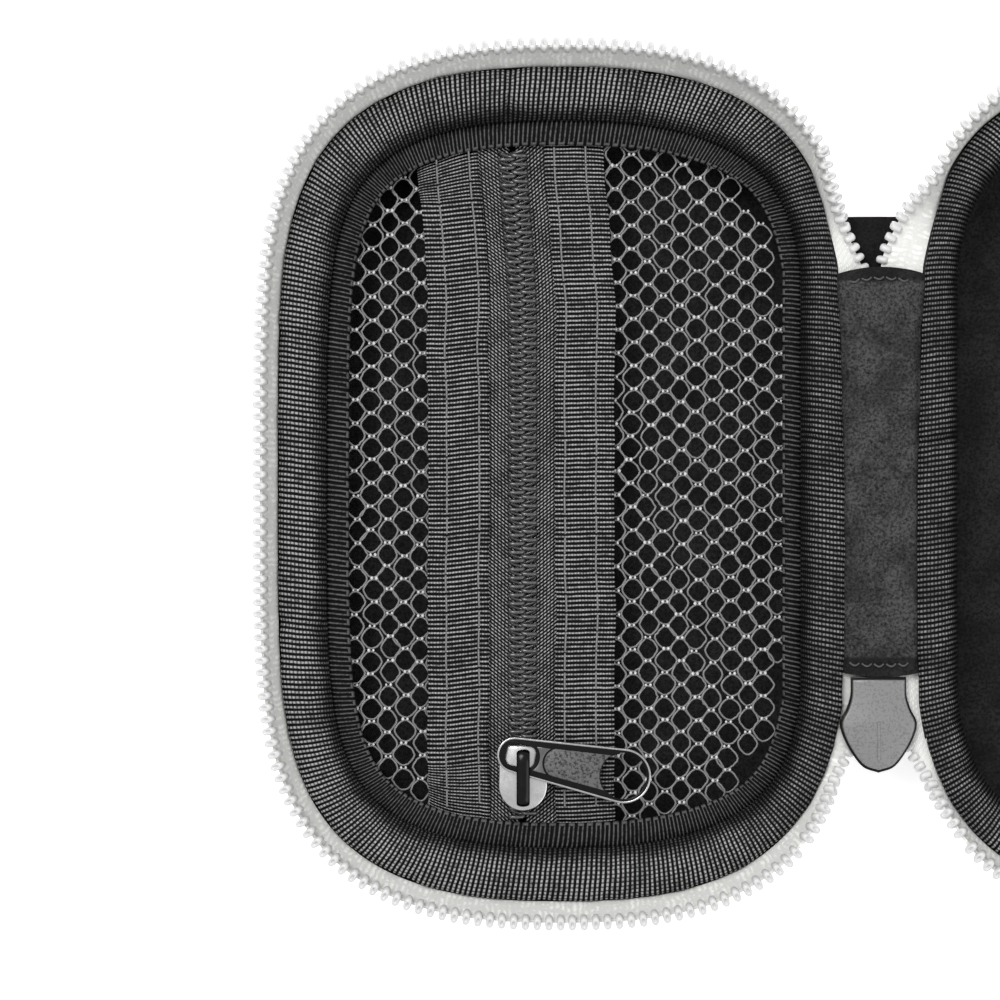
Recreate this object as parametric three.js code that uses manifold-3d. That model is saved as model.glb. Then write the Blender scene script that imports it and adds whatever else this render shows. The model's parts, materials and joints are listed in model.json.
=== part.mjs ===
// A soft-hinged travel case that lies open on its back: a pocket half and a lid half, joined by a fabric spine
// and closed by a zip that runs round both rims. The pocket half holds a zipped mesh pocket.
//
// Millimetres, +Z up. X runs across the case, Y along the spine. The origin is on the surface that the case
// lies on, under the middle of the spine. The pocket half is on -X and the lid half on +X.
import * as THREE from "three";
import { mergeVertices } from "three/addons/utils/BufferGeometryUtils.js";
import Module from "manifold-3d";

const wasm = await Module();
wasm.setup();

// ---- Driving dimensions --------------------------------------------------------------------------------

// Outline of each half, seen from above: a superellipse that is flatter on its long sides.
const HALF_WIDTH = 44.6;
const HALF_LENGTH = 65.5;
const WIDTH_POWER = 2.53;
const LENGTH_POWER = 4.56;
const HALF_CENTRE_X = 49.7;
const OUTLINE_POINTS = 44;

// Everything sewn round the rim is narrower along the two long sides: the share taken off an inset there.
const HINGE_SIDE_TIGHTER = 0.28;
const FREE_SIDE_TIGHTER = 0.08;

// Spine: two fold lines, one along each half, with the fabric spine between them.
const HINGE_EDGE_X = 6.0; // the flat outer wall of each half, beside the spine
const FOLD_X = 5.8;
const FOLD_Z = 19;
const RIM_Z = 18;

// Wall of a half, from the outside in. Each layer is [depth of its outer face, depth of its inner face].
const COVER_LAYER = [0, 0.6];
const FOAM_LAYER = [0.9, 3.8];
const LINING_LAYER = [4.1, 4.6];
const WALL_TOP_Z = RIM_Z - 0.4;

// Outer face of the wall, from the rim to the flat back: [inset from the outline, height].
const WALL_PROFILE = [
  [0, WALL_TOP_Z],
  [0.5, 11],
  [2.0, 5.4],
  [5.0, 1.9],
  [9.0, 0.4],
  [12.5, 0],
];

// Sewn bindings, as closed sections: [inset from the outline, height above the rim].
const RIM_BINDING = [
  [0.9, -0.15],
  [0.9, 0.6],
  [1.9, 1.3],
  [3.8, 1.6],
  [6.0, 1.0],
  [7.8, -0.5],
  [8.7, -2.0],
  [7.7, -2.4],
  [5.2, -0.15],
];
const EDGE_BINDING = [
  [8.2, -4.2],
  [8.2, -3.2],
  [10.2, -2.7],
  [12.4, -3.1],
  [12.4, -4.2],
];

// Main zip: a tape that stands on the rim, with its row of teeth along the top.
const TAPE_INSET = 0.15;
const TAPE_THICKNESS = 0.45;
const TAPE_LEAN = 2.3; // how far the top of the tape leans out
const TAPE_ROOT_Z = RIM_Z - 0.15;
const TEETH_TOP_Z = FOLD_Z + FOLD_X - 0.15; // just under the plane where the two halves meet
const TEETH_HEIGHT = 2.1;
const TEETH_THICKNESS = 2.2;

// Where the standing zip gives way to the end runs that lie across the spine.
const ZIP_TOP_Y = 50;
const ZIP_BOTTOM_Y = -53.5;
const END_RUN_GAP = 0.5; // between an end run's tape and the rim
const END_RUN_TEETH_GAP = 1.6; // between the middle of its row of teeth and the rim
const TUCK = 3; // length of each end run that lies under the inner strip
const BOTTOM_SPLIT_Y = -38; // inside the main slider, where its wedge parts the teeth
const TAPE_PLANE_Z = FOLD_Z - 1.8;
const CHAIN_HALF_WIDTH = 1.05;
const CHAIN_CENTRE_X = 1.35;

// Spine fabric.
const INNER_STRIP = { bottomY: -28.8, topY: 33.2, halfWidth: 5.5, bottomZ: FOLD_Z - 0.5, thickness: 0.6 };
const OUTER_STRIP = { bottomY: -28.8, topY: 41.7, halfWidth: 5.2, bottomZ: FOLD_Z - 3.7, thickness: 0.6 };

// Pocket panel. X places are measured from the middle of the pocket half.
const CLOTH_INSET = 11.8; // the cloth ends under the edge binding
const TRIM_INSET = 12.8; // the trims and coils end just inside it
const COIL_X = -5.9;
const COIL_HALF_WIDTH = 2.17;
const PARTING_HALF_GAP = 0.5;
const NARROW_TRIM = { from: -20.8, to: -11.2 };
const WIDE_TRIM = { from: -0.8, to: 8.5 };
const TRIM_OVERLAP = 4;
const CLOTH_Z = RIM_Z - 4.9;
const CLOTH_THICKNESS = 0.4;
const TRIM_Z = CLOTH_Z + CLOTH_THICKNESS + 0.3;
const TRIM_THICKNESS = 1.0;
const COIL_Z = CLOTH_Z + CLOTH_THICKNESS + 0.2;
const COIL_THICKNESS = 1.4;

// Sliders. Each has two plates, a post between them, a bail and a pull tab.
const POCKET_SLIDER = {
  centre: [COIL_X, -45.8],
  length: 10.4,
  width: 7.6,
  rearWidth: 6.2,
  plate: 1.0,
  lowerZ: CLOTH_Z - 1.3,
  upperZ: COIL_Z + COIL_THICKNESS + 0.3,
};
const MAIN_SLIDER = {
  centre: [0, -36.9],
  length: 15.2,
  width: 11.3,
  rearWidth: 8.5,
  plate: 1.0,
  lowerZ: TAPE_PLANE_Z - 2.4,
  upperZ: TAPE_PLANE_Z + 1.4,
};
const BAIL_WIDTH = 2.2;
const BAIL_LEG = 1.2;
const BAIL_STEP = 0.1; // clearance between a bail's feet and its slider
const POCKET_BAIL = { length: 9.0, height: 2.4, bar: 0.8, middleY: -45.8 };
const MAIN_BAIL = { length: 8.0, height: 2.9, bar: 0.9, middleY: -36.9 };
const PULL_TAB = { neckRadius: 2.75, endRadius: 4.3, reach: 17.3, thickness: 1.0, holeRadius: 3.35 };
const PULL_EYE = { length: 4.7, width: 3.5, corner: 1.0, fromNeck: 0.75 }; // its middle is past the neck's centre
const POCKET_PULL = { angle: -11, rise: 0.3 }; // degrees from +X seen from above, and height above the plate
const MAIN_PULL = { drop: 33, pivotDepth: 1.15 }; // degrees below the horizontal, and depth below the plate

// What joins a slider's plates. Distances along Y are from the slider's middle or its rear.
const POCKET_BLADE = { rearward: -4.4, clearance: 0.3 };
const MAIN_WEDGE = { tip: -2.6, end: -6.4, halfWidth: 1.4 };
const MAIN_FLANGE = { inner: 3.6, length: 6.5, height: 0.7 };

// ---- Colours -------------------------------------------------------------------------------------------

function finish(colour, roughness, metalness = 0) {
  return new THREE.MeshStandardMaterial({ color: colour, roughness, metalness });
}

const BLACK_CANVAS = finish(0x141416, 0.85);
const GREY_FOAM = finish(0x2c2c2e, 0.9);
const BLACK_LINING = finish(0x17171a, 0.8);
const BLACK_GROSGRAIN = finish(0x1a1a1c, 0.75);
const BLACK_MESH = finish(0x2a2a2c, 0.6);
const BLACK_NYLON = finish(0x1c1c1e, 0.5);
const WHITE_TAPE = finish(0xd8d8d4, 0.8);
const CLEAR_WHITE_RESIN = finish(0xe6e6e2, 0.35);
const GUNMETAL = finish(0x3a3a3c, 0.3, 0.9);

// ---- Solids --------------------------------------------------------------------------------------------

// A closed solid through a row of rings with equal point counts. The end rings are capped, or joined if wrapped.
function loft(rings, wrapped = false) {
  const count = rings[0].length;
  const points = rings.flat();
  const triangles = [];
  const lastPair = wrapped ? rings.length : rings.length - 1;
  for (let r = 0; r < lastPair; r++) {
    const here = r * count;
    const next = ((r + 1) % rings.length) * count;
    for (let i = 0; i < count; i++) {
      const j = (i + 1) % count;
      triangles.push([here + i, here + j, next + j], [here + i, next + j, next + i]);
    }
  }
  if (!wrapped) {
    for (const [ring, flip] of [[0, true], [rings.length - 1, false]]) {
      const middle = rings[ring].reduce((sum, p) => sum.add(p), new THREE.Vector3()).divideScalar(count);
      const centre = points.push(middle) - 1;
      for (let i = 0; i < count; i++) {
        const edge = [ring * count + i, ring * count + ((i + 1) % count)];
        triangles.push(flip ? [centre, edge[1], edge[0]] : [centre, edge[0], edge[1]]);
      }
    }
  }
  const volume = triangles.reduce(
    (sum, [a, b, c]) => sum + points[a].dot(new THREE.Vector3().crossVectors(points[b], points[c])),
    0,
  );
  const facingOut = volume < 0 ? triangles.map(([a, b, c]) => [a, c, b]) : triangles;
  return new THREE.BufferGeometry().setFromPoints(points).setIndex(facingOut.flat());
}

// A three.js geometry as a manifold-3d solid, and back.
function solidOf(geometry) {
  const bare = geometry.clone();
  bare.deleteAttribute("normal");
  bare.deleteAttribute("uv");
  const merged = mergeVertices(bare, 1e-4);
  return new wasm.Manifold(
    new wasm.Mesh({
      numProp: 3,
      vertProperties: new Float32Array(merged.attributes.position.array),
      triVerts: new Uint32Array(merged.index.array),
    }),
  );
}

function geometryOf(solid) {
  const { vertProperties, triVerts } = solid.getMesh();
  return new THREE.BufferGeometry()
    .setAttribute("position", new THREE.BufferAttribute(vertProperties, 3))
    .setIndex(new THREE.BufferAttribute(triVerts, 1));
}

function joined(...geometries) {
  return geometryOf(geometries.map(solidOf).reduce((whole, piece) => whole.add(piece)));
}

// A flat shape, extruded upwards from a height.
function slab(shape, bottomZ, thickness, curveSegments = 10) {
  const options = { depth: thickness, bevelEnabled: false, curveSegments };
  return new THREE.ExtrudeGeometry(shape, options).translate(0, 0, bottomZ);
}

// A box between two corners.
function block([x0, y0, z0], [x1, y1, z1]) {
  return new THREE.BoxGeometry(x1 - x0, y1 - y0, z1 - z0).translate((x0 + x1) / 2, (y0 + y1) / 2, (z0 + z1) / 2);
}

function mesh(name, geometry, material) {
  const made = new THREE.Mesh(geometry, material);
  made.name = name;
  return made;
}

// ---- Outline of a half ---------------------------------------------------------------------------------

// Points evenly spaced round the outline with their outward normals, from the hinge side, anticlockwise.
// They are measured from the middle of the half, with the spine on +X.
function outline(count) {
  const dense = 1440;
  const corner = (turn, size, power) => Math.sign(turn) * size * Math.abs(turn) ** (2 / power);
  const curve = Array.from({ length: dense + 1 }, (_, i) => {
    const angle = (2 * Math.PI * i) / dense;
    return new THREE.Vector2(
      corner(Math.cos(angle), HALF_WIDTH, WIDTH_POWER),
      corner(Math.sin(angle), HALF_LENGTH, LENGTH_POWER),
    );
  });
  const lengths = [0];
  for (let i = 1; i <= dense; i++) lengths.push(lengths[i - 1] + curve[i].distanceTo(curve[i - 1]));
  const slope = (v, size, power) => (Math.sign(v) * power * Math.abs(v / size) ** (power - 1)) / size;
  return Array.from({ length: count }, (_, k) => {
    const target = (lengths[dense] * k) / count;
    const i = Math.max(1, lengths.findIndex((length) => length >= target));
    const share = (target - lengths[i - 1]) / (lengths[i] - lengths[i - 1]);
    const point = curve[i - 1].clone().lerp(curve[i], share);
    const normal = new THREE.Vector2(
      slope(point.x, HALF_WIDTH, WIDTH_POWER),
      slope(point.y, HALF_LENGTH, LENGTH_POWER),
    ).normalize();
    return { point, normal };
  });
}

// The place at an inset from an outline point. The wall beside the spine is cut flat.
function insetPlace({ point, normal }, inset) {
  const tighter = (normal.x > 0 ? HINGE_SIDE_TIGHTER : FREE_SIDE_TIGHTER) * normal.x ** 2;
  const place = point.clone().addScaledVector(normal, -inset * (1 - tighter));
  place.x = Math.min(place.x, HALF_CENTRE_X - HINGE_EDGE_X - inset * (1 - HINGE_SIDE_TIGHTER));
  return place;
}

function ringAt(stations, inset, z) {
  return stations.map((station) => {
    const place = insetPlace(station, inset);
    return new THREE.Vector3(place.x, place.y, z);
  });
}

const RIM_STATIONS = outline(OUTLINE_POINTS);

// ---- Parts that both halves have -----------------------------------------------------------------------

// The wall profile moved inwards by a depth, along its own normals.
function profileAtDepth(depth) {
  return WALL_PROFILE.map(([inset, z], i) => {
    const before = WALL_PROFILE[Math.max(0, i - 1)];
    const after = WALL_PROFILE[Math.min(WALL_PROFILE.length - 1, i + 1)];
    const along = new THREE.Vector2(after[0] - before[0], after[1] - before[1]).normalize();
    if (i === 0) along.set(0, -1);
    if (i === WALL_PROFILE.length - 1) along.set(1, 0);
    return [inset - along.y * depth, z + along.x * depth];
  });
}

// One layer of the tray that a half is made of.
function trayLayer([outerDepth, innerDepth]) {
  const rings = (depth) => profileAtDepth(depth).map(([inset, z]) => ringAt(RIM_STATIONS, inset, z));
  return loft([...rings(outerDepth).reverse(), ...rings(innerDepth)]);
}

// A binding that runs all the way round, from its closed section.
function bindingRing(section) {
  return loft(section.map(([inset, rise]) => ringAt(RIM_STATIONS, inset, RIM_Z + rise)), true);
}

// Stations of the standing zip, in order, from the top end round the outside to the bottom end.
function zipStations() {
  return outline(OUTLINE_POINTS * 2).filter(
    ({ point }) => point.x < 0 || point.y > ZIP_TOP_Y || point.y < ZIP_BOTTOM_Y,
  );
}

// A strip that stands along the zip stations. Its section is [outset from the outline, height] pairs.
function standingStrip(section) {
  return loft(
    zipStations().map((station) =>
      section.map(([outset, z]) => {
        const place = insetPlace(station, -outset);
        return new THREE.Vector3(place.x, place.y, z);
      }),
    ),
  );
}

// How far out the middle of the leaning tape is at a height.
function leanAt(z) {
  return -TAPE_INSET - TAPE_THICKNESS / 2 + (TAPE_LEAN * (z - TAPE_ROOT_Z)) / (TEETH_TOP_Z - TAPE_ROOT_Z);
}

function zipTape() {
  const topZ = TEETH_TOP_Z - TEETH_HEIGHT - 0.2;
  const half = TAPE_THICKNESS / 2;
  return standingStrip([
    [leanAt(TAPE_ROOT_Z) - half, TAPE_ROOT_Z],
    [leanAt(TAPE_ROOT_Z) + half, TAPE_ROOT_Z],
    [leanAt(topZ) + half, topZ],
    [leanAt(topZ) - half, topZ],
  ]);
}

function zipTeeth() {
  const middle = leanAt(TEETH_TOP_Z - TEETH_HEIGHT / 2);
  const half = TEETH_THICKNESS / 2;
  const bottomZ = TEETH_TOP_Z - TEETH_HEIGHT;
  return standingStrip([
    [middle - half, bottomZ],
    [middle + half, bottomZ],
    [middle + half, TEETH_TOP_Z],
    [middle - half, TEETH_TOP_Z],
  ]);
}

// ---- Main zip across the spine -------------------------------------------------------------------------

// One end run of the zip, on the pocket side of the spine. Its teeth leave the middle of the spine at splitY
// and reach the rim where the standing zip ends. The run tucks under the inner strip at tuckY.
function zipEndRun({ tuckY, splitY, rimY }) {
  const side = Math.sign(rimY);
  const besideRim = (gap) =>
    outline(OUTLINE_POINTS * 4)
      .filter(({ point }) => point.x > 0 && side * point.y > side * tuckY && side * point.y < side * rimY)
      .map((station) => insetPlace(station, -gap))
      .map(({ x, y }) => new THREE.Vector2(x - HALF_CENTRE_X, y))
      .sort((a, b) => side * (a.y - b.y));
  const root = besideRim(END_RUN_GAP);
  const teethEnd = besideRim(END_RUN_TEETH_GAP).pop();
  const teethLine = [
    new THREE.Vector2(-CHAIN_CENTRE_X, tuckY),
    new THREE.Vector2(-CHAIN_CENTRE_X, splitY),
    teethEnd,
  ];
  const web = new THREE.Shape([...root, ...teethLine.toReversed()]);
  const along = teethEnd.clone().sub(teethLine[1]).normalize();
  const across = new THREE.Vector2(-along.y, along.x).multiplyScalar(CHAIN_HALF_WIDTH);
  const beside = (sign) => [
    new THREE.Vector2(-CHAIN_CENTRE_X - sign * side * CHAIN_HALF_WIDTH, tuckY),
    new THREE.Vector2(-CHAIN_CENTRE_X - sign * side * CHAIN_HALF_WIDTH, splitY),
    teethEnd.clone().addScaledVector(across, sign),
  ];
  const chain = new THREE.Shape([...beside(1), ...beside(-1).toReversed()]);
  return joined(
    slab(web, TAPE_PLANE_Z - TAPE_THICKNESS / 2, TAPE_THICKNESS),
    slab(chain, TAPE_PLANE_Z - TEETH_THICKNESS / 2, TEETH_THICKNESS),
  );
}

function spineStrip({ bottomY, topY, halfWidth, bottomZ, thickness }) {
  return block([-halfWidth, bottomY, bottomZ], [halfWidth, topY, bottomZ + thickness]);
}

// ---- Sliders -------------------------------------------------------------------------------------------

// A slider plate seen from above: square at the rear (+Y), widest past the middle, round at the front.
function plateShape({ centre: [x, y], length, width, rearWidth }) {
  const rear = y + length / 2;
  const front = y - length / 2;
  const shoulder = rear - length * 0.25; // where the plate starts to widen
  const widest = y - length * 0.12;
  const widening = widest + length * 0.16;
  const rounding = widest - length * 0.22;
  const noseWidth = width * 0.56;
  const shape = new THREE.Shape();
  shape.moveTo(x - rearWidth / 2, rear);
  shape.lineTo(x - rearWidth / 2, shoulder);
  shape.quadraticCurveTo(x - width / 2, widening, x - width / 2, widest);
  shape.bezierCurveTo(x - width / 2, rounding, x - noseWidth / 2, front, x, front);
  shape.bezierCurveTo(x + noseWidth / 2, front, x + width / 2, rounding, x + width / 2, widest);
  shape.quadraticCurveTo(x + width / 2, widening, x + rearWidth / 2, shoulder);
  shape.lineTo(x + rearWidth / 2, rear);
  return shape;
}

// Both plates of a slider with what joins them.
function sliderBody(slider, ...between) {
  const shape = plateShape(slider);
  return joined(slab(shape, slider.lowerZ, slider.plate, 6), slab(shape, slider.upperZ, slider.plate, 6), ...between);
}

// The pocket slider's post is a thin blade, which runs in the gap between the two coils.
function pocketSliderBody() {
  const { centre: [x, y], plate, lowerZ, upperZ } = POCKET_SLIDER;
  const half = PARTING_HALF_GAP - POCKET_BLADE.clearance;
  const front = y + POCKET_BLADE.rearward;
  return sliderBody(POCKET_SLIDER, block([x - half, front, lowerZ + plate / 2], [x + half, y, upperZ + plate / 2]));
}

// The main slider has a wedge where the two rows of teeth part, and side flanges at its rear.
function mainSliderBody() {
  const { centre: [x, y], length, rearWidth, plate, lowerZ, upperZ } = MAIN_SLIDER;
  const wedge = new THREE.Shape([
    new THREE.Vector2(x, y + MAIN_WEDGE.tip),
    new THREE.Vector2(x - MAIN_WEDGE.halfWidth, y + MAIN_WEDGE.end),
    new THREE.Vector2(x + MAIN_WEDGE.halfWidth, y + MAIN_WEDGE.end),
  ]);
  const post = slab(wedge, lowerZ + plate / 2, upperZ - lowerZ);
  const rear = y + length / 2;
  const flange = (side) => {
    const faces = [side * MAIN_FLANGE.inner, (side * rearWidth) / 2];
    return block(
      [Math.min(...faces), rear - MAIN_FLANGE.length, upperZ - MAIN_FLANGE.height],
      [Math.max(...faces), rear, upperZ + plate / 2],
    );
  };
  return sliderBody(MAIN_SLIDER, post, flange(-1), flange(1));
}

// An arch along Y on one face of a slider. Its legs stand on faceZ, and it rises towards `up` (1 or -1).
function bail({ length, height, bar, middleY }, x, faceZ, up) {
  const foot = faceZ + up * BAIL_STEP;
  const half = length / 2;
  const shoulder = bar * 1.5; // how far along the bar its rounded ends reach
  const arch = new THREE.Shape();
  arch.moveTo(-half, 0);
  arch.lineTo(-half, height - bar);
  arch.quadraticCurveTo(-half, height, -half + shoulder, height);
  arch.lineTo(half - shoulder, height);
  arch.quadraticCurveTo(half, height, half, height - bar);
  arch.lineTo(half, 0);
  arch.lineTo(half - BAIL_LEG, 0);
  arch.lineTo(half - BAIL_LEG, height - bar);
  arch.lineTo(-half + BAIL_LEG, height - bar);
  arch.lineTo(-half + BAIL_LEG, 0);
  const options = { depth: BAIL_WIDTH, bevelEnabled: false, curveSegments: 4 };
  const turned = new THREE.ExtrudeGeometry(arch, options)
    .translate(0, 0, -BAIL_WIDTH / 2)
    .rotateX(Math.PI / 2)
    .rotateZ(Math.PI / 2);
  if (up < 0) turned.rotateY(Math.PI);
  return turned.translate(x, middleY, foot);
}

// A tapered pull tab along +X with an eye at its narrow end and a round hole in its wide end.
// The middle of the eye is at the origin, and the tab lies between z = 0 and its thickness.
function pullTab() {
  const { neckRadius, endRadius, reach, thickness, holeRadius } = PULL_TAB;
  const { length, width, corner, fromNeck } = PULL_EYE;
  const taper = Math.asin((endRadius - neckRadius) / reach);
  const shape = new THREE.Shape();
  shape.absarc(0, 0, neckRadius, Math.PI / 2 + taper, 1.5 * Math.PI - taper, false);
  shape.absarc(reach, 0, endRadius, -Math.PI / 2 - taper, Math.PI / 2 + taper, false);
  const eye = new THREE.Path();
  const cornerX = length / 2 - corner;
  const cornerY = width / 2 - corner;
  eye.absarc(fromNeck + cornerX, cornerY, corner, 0, Math.PI / 2, false);
  eye.absarc(fromNeck - cornerX, cornerY, corner, Math.PI / 2, Math.PI, false);
  eye.absarc(fromNeck - cornerX, -cornerY, corner, Math.PI, 1.5 * Math.PI, false);
  eye.absarc(fromNeck + cornerX, -cornerY, corner, 1.5 * Math.PI, 2 * Math.PI, false);
  const hole = new THREE.Path();
  hole.absarc(reach, 0, holeRadius, 0, 2 * Math.PI, false);
  shape.holes.push(eye, hole);
  return slab(shape, 0, thickness, 6).translate(-fromNeck, 0, 0);
}

// ---- Pocket half ---------------------------------------------------------------------------------------

// The part of the pocket's flat outline between two X places, as one layer of the pocket panel.
function panelStrip(fromX, toX, inset, bottomZ, thickness) {
  const edge = new THREE.Shape(RIM_STATIONS.map((station) => insetPlace(station, inset)));
  const sheet = solidOf(slab(edge, bottomZ, thickness));
  const width = block([fromX, -HALF_LENGTH, bottomZ - 1], [toX, HALF_LENGTH, bottomZ + thickness + 1]);
  return geometryOf(sheet.intersect(solidOf(width)));
}

function halfTray(prefix) {
  return [
    mesh(`${prefix}_outer_cover`, trayLayer(COVER_LAYER), BLACK_CANVAS),
    mesh(`${prefix}_foam_shell`, trayLayer(FOAM_LAYER), GREY_FOAM),
    mesh(`${prefix}_lining`, trayLayer(LINING_LAYER), BLACK_LINING),
    mesh(`${prefix}_rim_binding`, bindingRing(RIM_BINDING), BLACK_GROSGRAIN),
    mesh(`${prefix}_zip_tape`, zipTape(), WHITE_TAPE),
    mesh(`${prefix}_zip_teeth`, zipTeeth(), CLEAR_WHITE_RESIN),
  ];
}

function pocketPanel() {
  const narrowSeam = NARROW_TRIM.from + TRIM_OVERLAP;
  const wideSeam = WIDE_TRIM.to - TRIM_OVERLAP;
  const partLeft = COIL_X - PARTING_HALF_GAP;
  const partRight = COIL_X + PARTING_HALF_GAP;
  const cloth = (from, to) => panelStrip(from, to, CLOTH_INSET, CLOTH_Z, CLOTH_THICKNESS);
  const trim = ({ from, to }) => panelStrip(from, to, TRIM_INSET, TRIM_Z, TRIM_THICKNESS);
  const coil = (from, to) => panelStrip(from, to, TRIM_INSET, COIL_Z, COIL_THICKNESS);
  return [
    mesh("pocket_edge_binding", bindingRing(EDGE_BINDING), BLACK_GROSGRAIN),
    mesh("mesh_panel_narrow", cloth(-HALF_WIDTH, narrowSeam), BLACK_MESH),
    mesh("mesh_panel_wide", cloth(wideSeam, HALF_WIDTH), BLACK_MESH),
    mesh("mesh_trim_narrow", trim(NARROW_TRIM), BLACK_GROSGRAIN),
    mesh("mesh_trim_wide", trim(WIDE_TRIM), BLACK_GROSGRAIN),
    mesh("coil_tape_narrow_side", cloth(narrowSeam + 0.3, partLeft), BLACK_NYLON),
    mesh("coil_tape_wide_side", cloth(partRight, wideSeam - 0.3), BLACK_NYLON),
    mesh("coil_narrow_side", coil(COIL_X - COIL_HALF_WIDTH, partLeft), BLACK_NYLON),
    mesh("coil_wide_side", coil(partRight, COIL_X + COIL_HALF_WIDTH), BLACK_NYLON),
  ];
}

// The pocket pull tab lies flat on the slider with the bail's rear leg through its eye.
function pocketSlider() {
  const plateTop = POCKET_SLIDER.upperZ + POCKET_SLIDER.plate;
  const rearLegY = POCKET_BAIL.middleY + (POCKET_BAIL.length - BAIL_LEG) / 2;
  const tab = mesh("pocket_pull_tab", pullTab(), GUNMETAL);
  tab.rotation.z = THREE.MathUtils.degToRad(POCKET_PULL.angle);
  tab.position.set(COIL_X, rearLegY, plateTop + POCKET_PULL.rise);
  return [
    mesh("pocket_slider_body", pocketSliderBody(), GUNMETAL),
    mesh("pocket_slider_bail", bail(POCKET_BAIL, COIL_X, plateTop, 1), GUNMETAL),
    tab,
  ];
}

// ---- Spine and main slider -----------------------------------------------------------------------------

function spine() {
  const top = { tuckY: INNER_STRIP.topY - TUCK, splitY: INNER_STRIP.topY, rimY: ZIP_TOP_Y - 1 };
  const bottom = { tuckY: INNER_STRIP.bottomY + TUCK, splitY: BOTTOM_SPLIT_Y, rimY: ZIP_BOTTOM_Y + 1 };
  const run = (name, ends, mirrored) => {
    const made = mesh(name, zipEndRun(ends), CLEAR_WHITE_RESIN);
    if (mirrored) made.scale.x = -1;
    return made;
  };
  return [
    mesh("hinge_inner_strip", spineStrip(INNER_STRIP), BLACK_LINING),
    mesh("hinge_outer_strip", spineStrip(OUTER_STRIP), BLACK_CANVAS),
    run("zip_end_pocket_top", top, false),
    run("zip_end_pocket_bottom", bottom, false),
    run("zip_end_lid_top", top, true),
    run("zip_end_lid_bottom", bottom, true),
  ];
}

// The main pull tab hangs from its bail on the underside, points up the spine and rests its end low down.
function mainSlider() {
  const underside = MAIN_SLIDER.lowerZ;
  const eyeBack = PULL_EYE.length / 2;
  const neckBack = PULL_TAB.neckRadius + PULL_EYE.fromNeck;
  const crossbarBehind = (eyeBack + neckBack) / 2; // from the middle of the eye to the middle of its crossbar
  const tabGeometry = pullTab()
    .translate(crossbarBehind, 0, -PULL_TAB.thickness / 2)
    .rotateZ(Math.PI / 2)
    .rotateX(-THREE.MathUtils.degToRad(MAIN_PULL.drop));
  const tab = mesh("main_pull_tab", tabGeometry, GUNMETAL);
  tab.position.set(0, MAIN_BAIL.middleY, underside - MAIN_PULL.pivotDepth);
  return [
    mesh("main_slider_body", mainSliderBody(), GUNMETAL),
    mesh("main_slider_bail", bail(MAIN_BAIL, 0, underside, -1), GUNMETAL),
    tab,
  ];
}

// ---- Assembly ------------------------------------------------------------------------------------------

const pocketHalf = new THREE.Group();
pocketHalf.add(...halfTray("pocket"), ...pocketPanel(), ...pocketSlider());
pocketHalf.position.x = -HALF_CENTRE_X;

const lidHalf = new THREE.Group();
lidHalf.add(...halfTray("lid"));
lidHalf.scale.x = -1;
lidHalf.position.x = HALF_CENTRE_X;

const travelCase = new THREE.Group();
travelCase.add(pocketHalf, lidHalf, ...spine(), ...mainSlider());

export default travelCase;
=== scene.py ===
"""Looks for a small travel case that lies open on its back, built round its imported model.

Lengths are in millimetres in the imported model's frame, and add_mesh() turns them into metres. The pocket half
is on -X and the lid half on +X. What both halves have is made on -X, and mirrored for the lid half.
"""
import json
import math

import bmesh
import bpy
import numpy as np
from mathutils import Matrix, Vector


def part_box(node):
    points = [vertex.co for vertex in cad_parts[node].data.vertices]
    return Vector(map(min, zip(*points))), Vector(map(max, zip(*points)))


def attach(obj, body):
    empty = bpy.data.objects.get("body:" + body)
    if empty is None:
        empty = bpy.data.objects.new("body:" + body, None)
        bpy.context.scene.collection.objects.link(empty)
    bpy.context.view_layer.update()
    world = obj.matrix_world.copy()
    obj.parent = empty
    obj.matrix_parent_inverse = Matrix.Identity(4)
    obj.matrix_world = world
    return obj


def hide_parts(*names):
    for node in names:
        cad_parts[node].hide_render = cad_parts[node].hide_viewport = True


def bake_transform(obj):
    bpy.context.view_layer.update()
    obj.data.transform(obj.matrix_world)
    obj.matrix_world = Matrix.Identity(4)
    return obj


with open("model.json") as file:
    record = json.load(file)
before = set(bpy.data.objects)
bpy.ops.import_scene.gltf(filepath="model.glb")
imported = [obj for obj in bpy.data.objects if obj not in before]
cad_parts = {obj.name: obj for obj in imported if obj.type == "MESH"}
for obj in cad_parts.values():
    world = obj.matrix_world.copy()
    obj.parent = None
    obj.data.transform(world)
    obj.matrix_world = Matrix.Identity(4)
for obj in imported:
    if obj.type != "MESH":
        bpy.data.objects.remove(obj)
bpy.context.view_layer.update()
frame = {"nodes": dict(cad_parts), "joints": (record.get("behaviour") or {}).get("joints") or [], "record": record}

# ---- Places from the frame -----------------------------------------------------------------------------

MM = 0.001
TURN = 2 * math.pi


def node_box(name):
    low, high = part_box(name)
    return np.array(low) / MM, np.array(high) / MM


def joint_place(name):
    return next(np.array(joint["pos_m"]) / MM for joint in frame["joints"] if joint["name"] == name)


MOUNTS = {mount["name"]: np.array(mount["pos_m"]) / MM for mount in frame["record"]["mounts"]}
COVER_LOW, COVER_HIGH = node_box("pocket_outer_cover")
HALF_CENTRE_X = -MOUNTS["pocket_half_back"][0]
HALF_WIDTH = -COVER_LOW[0] - HALF_CENTRE_X
HALF_LENGTH = COVER_HIGH[1]
HINGE_EDGE_X = -COVER_HIGH[0]
FOLD_X = -joint_place("spine_fold")[0]
RIM_Z = joint_place("spine_fold")[2] - 1
CLOTH_Z = node_box("mesh_panel_wide")[0][2] + 0.2
COIL_X = (node_box("coil_narrow_side")[1][0] + node_box("coil_wide_side")[0][0]) / 2

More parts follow.
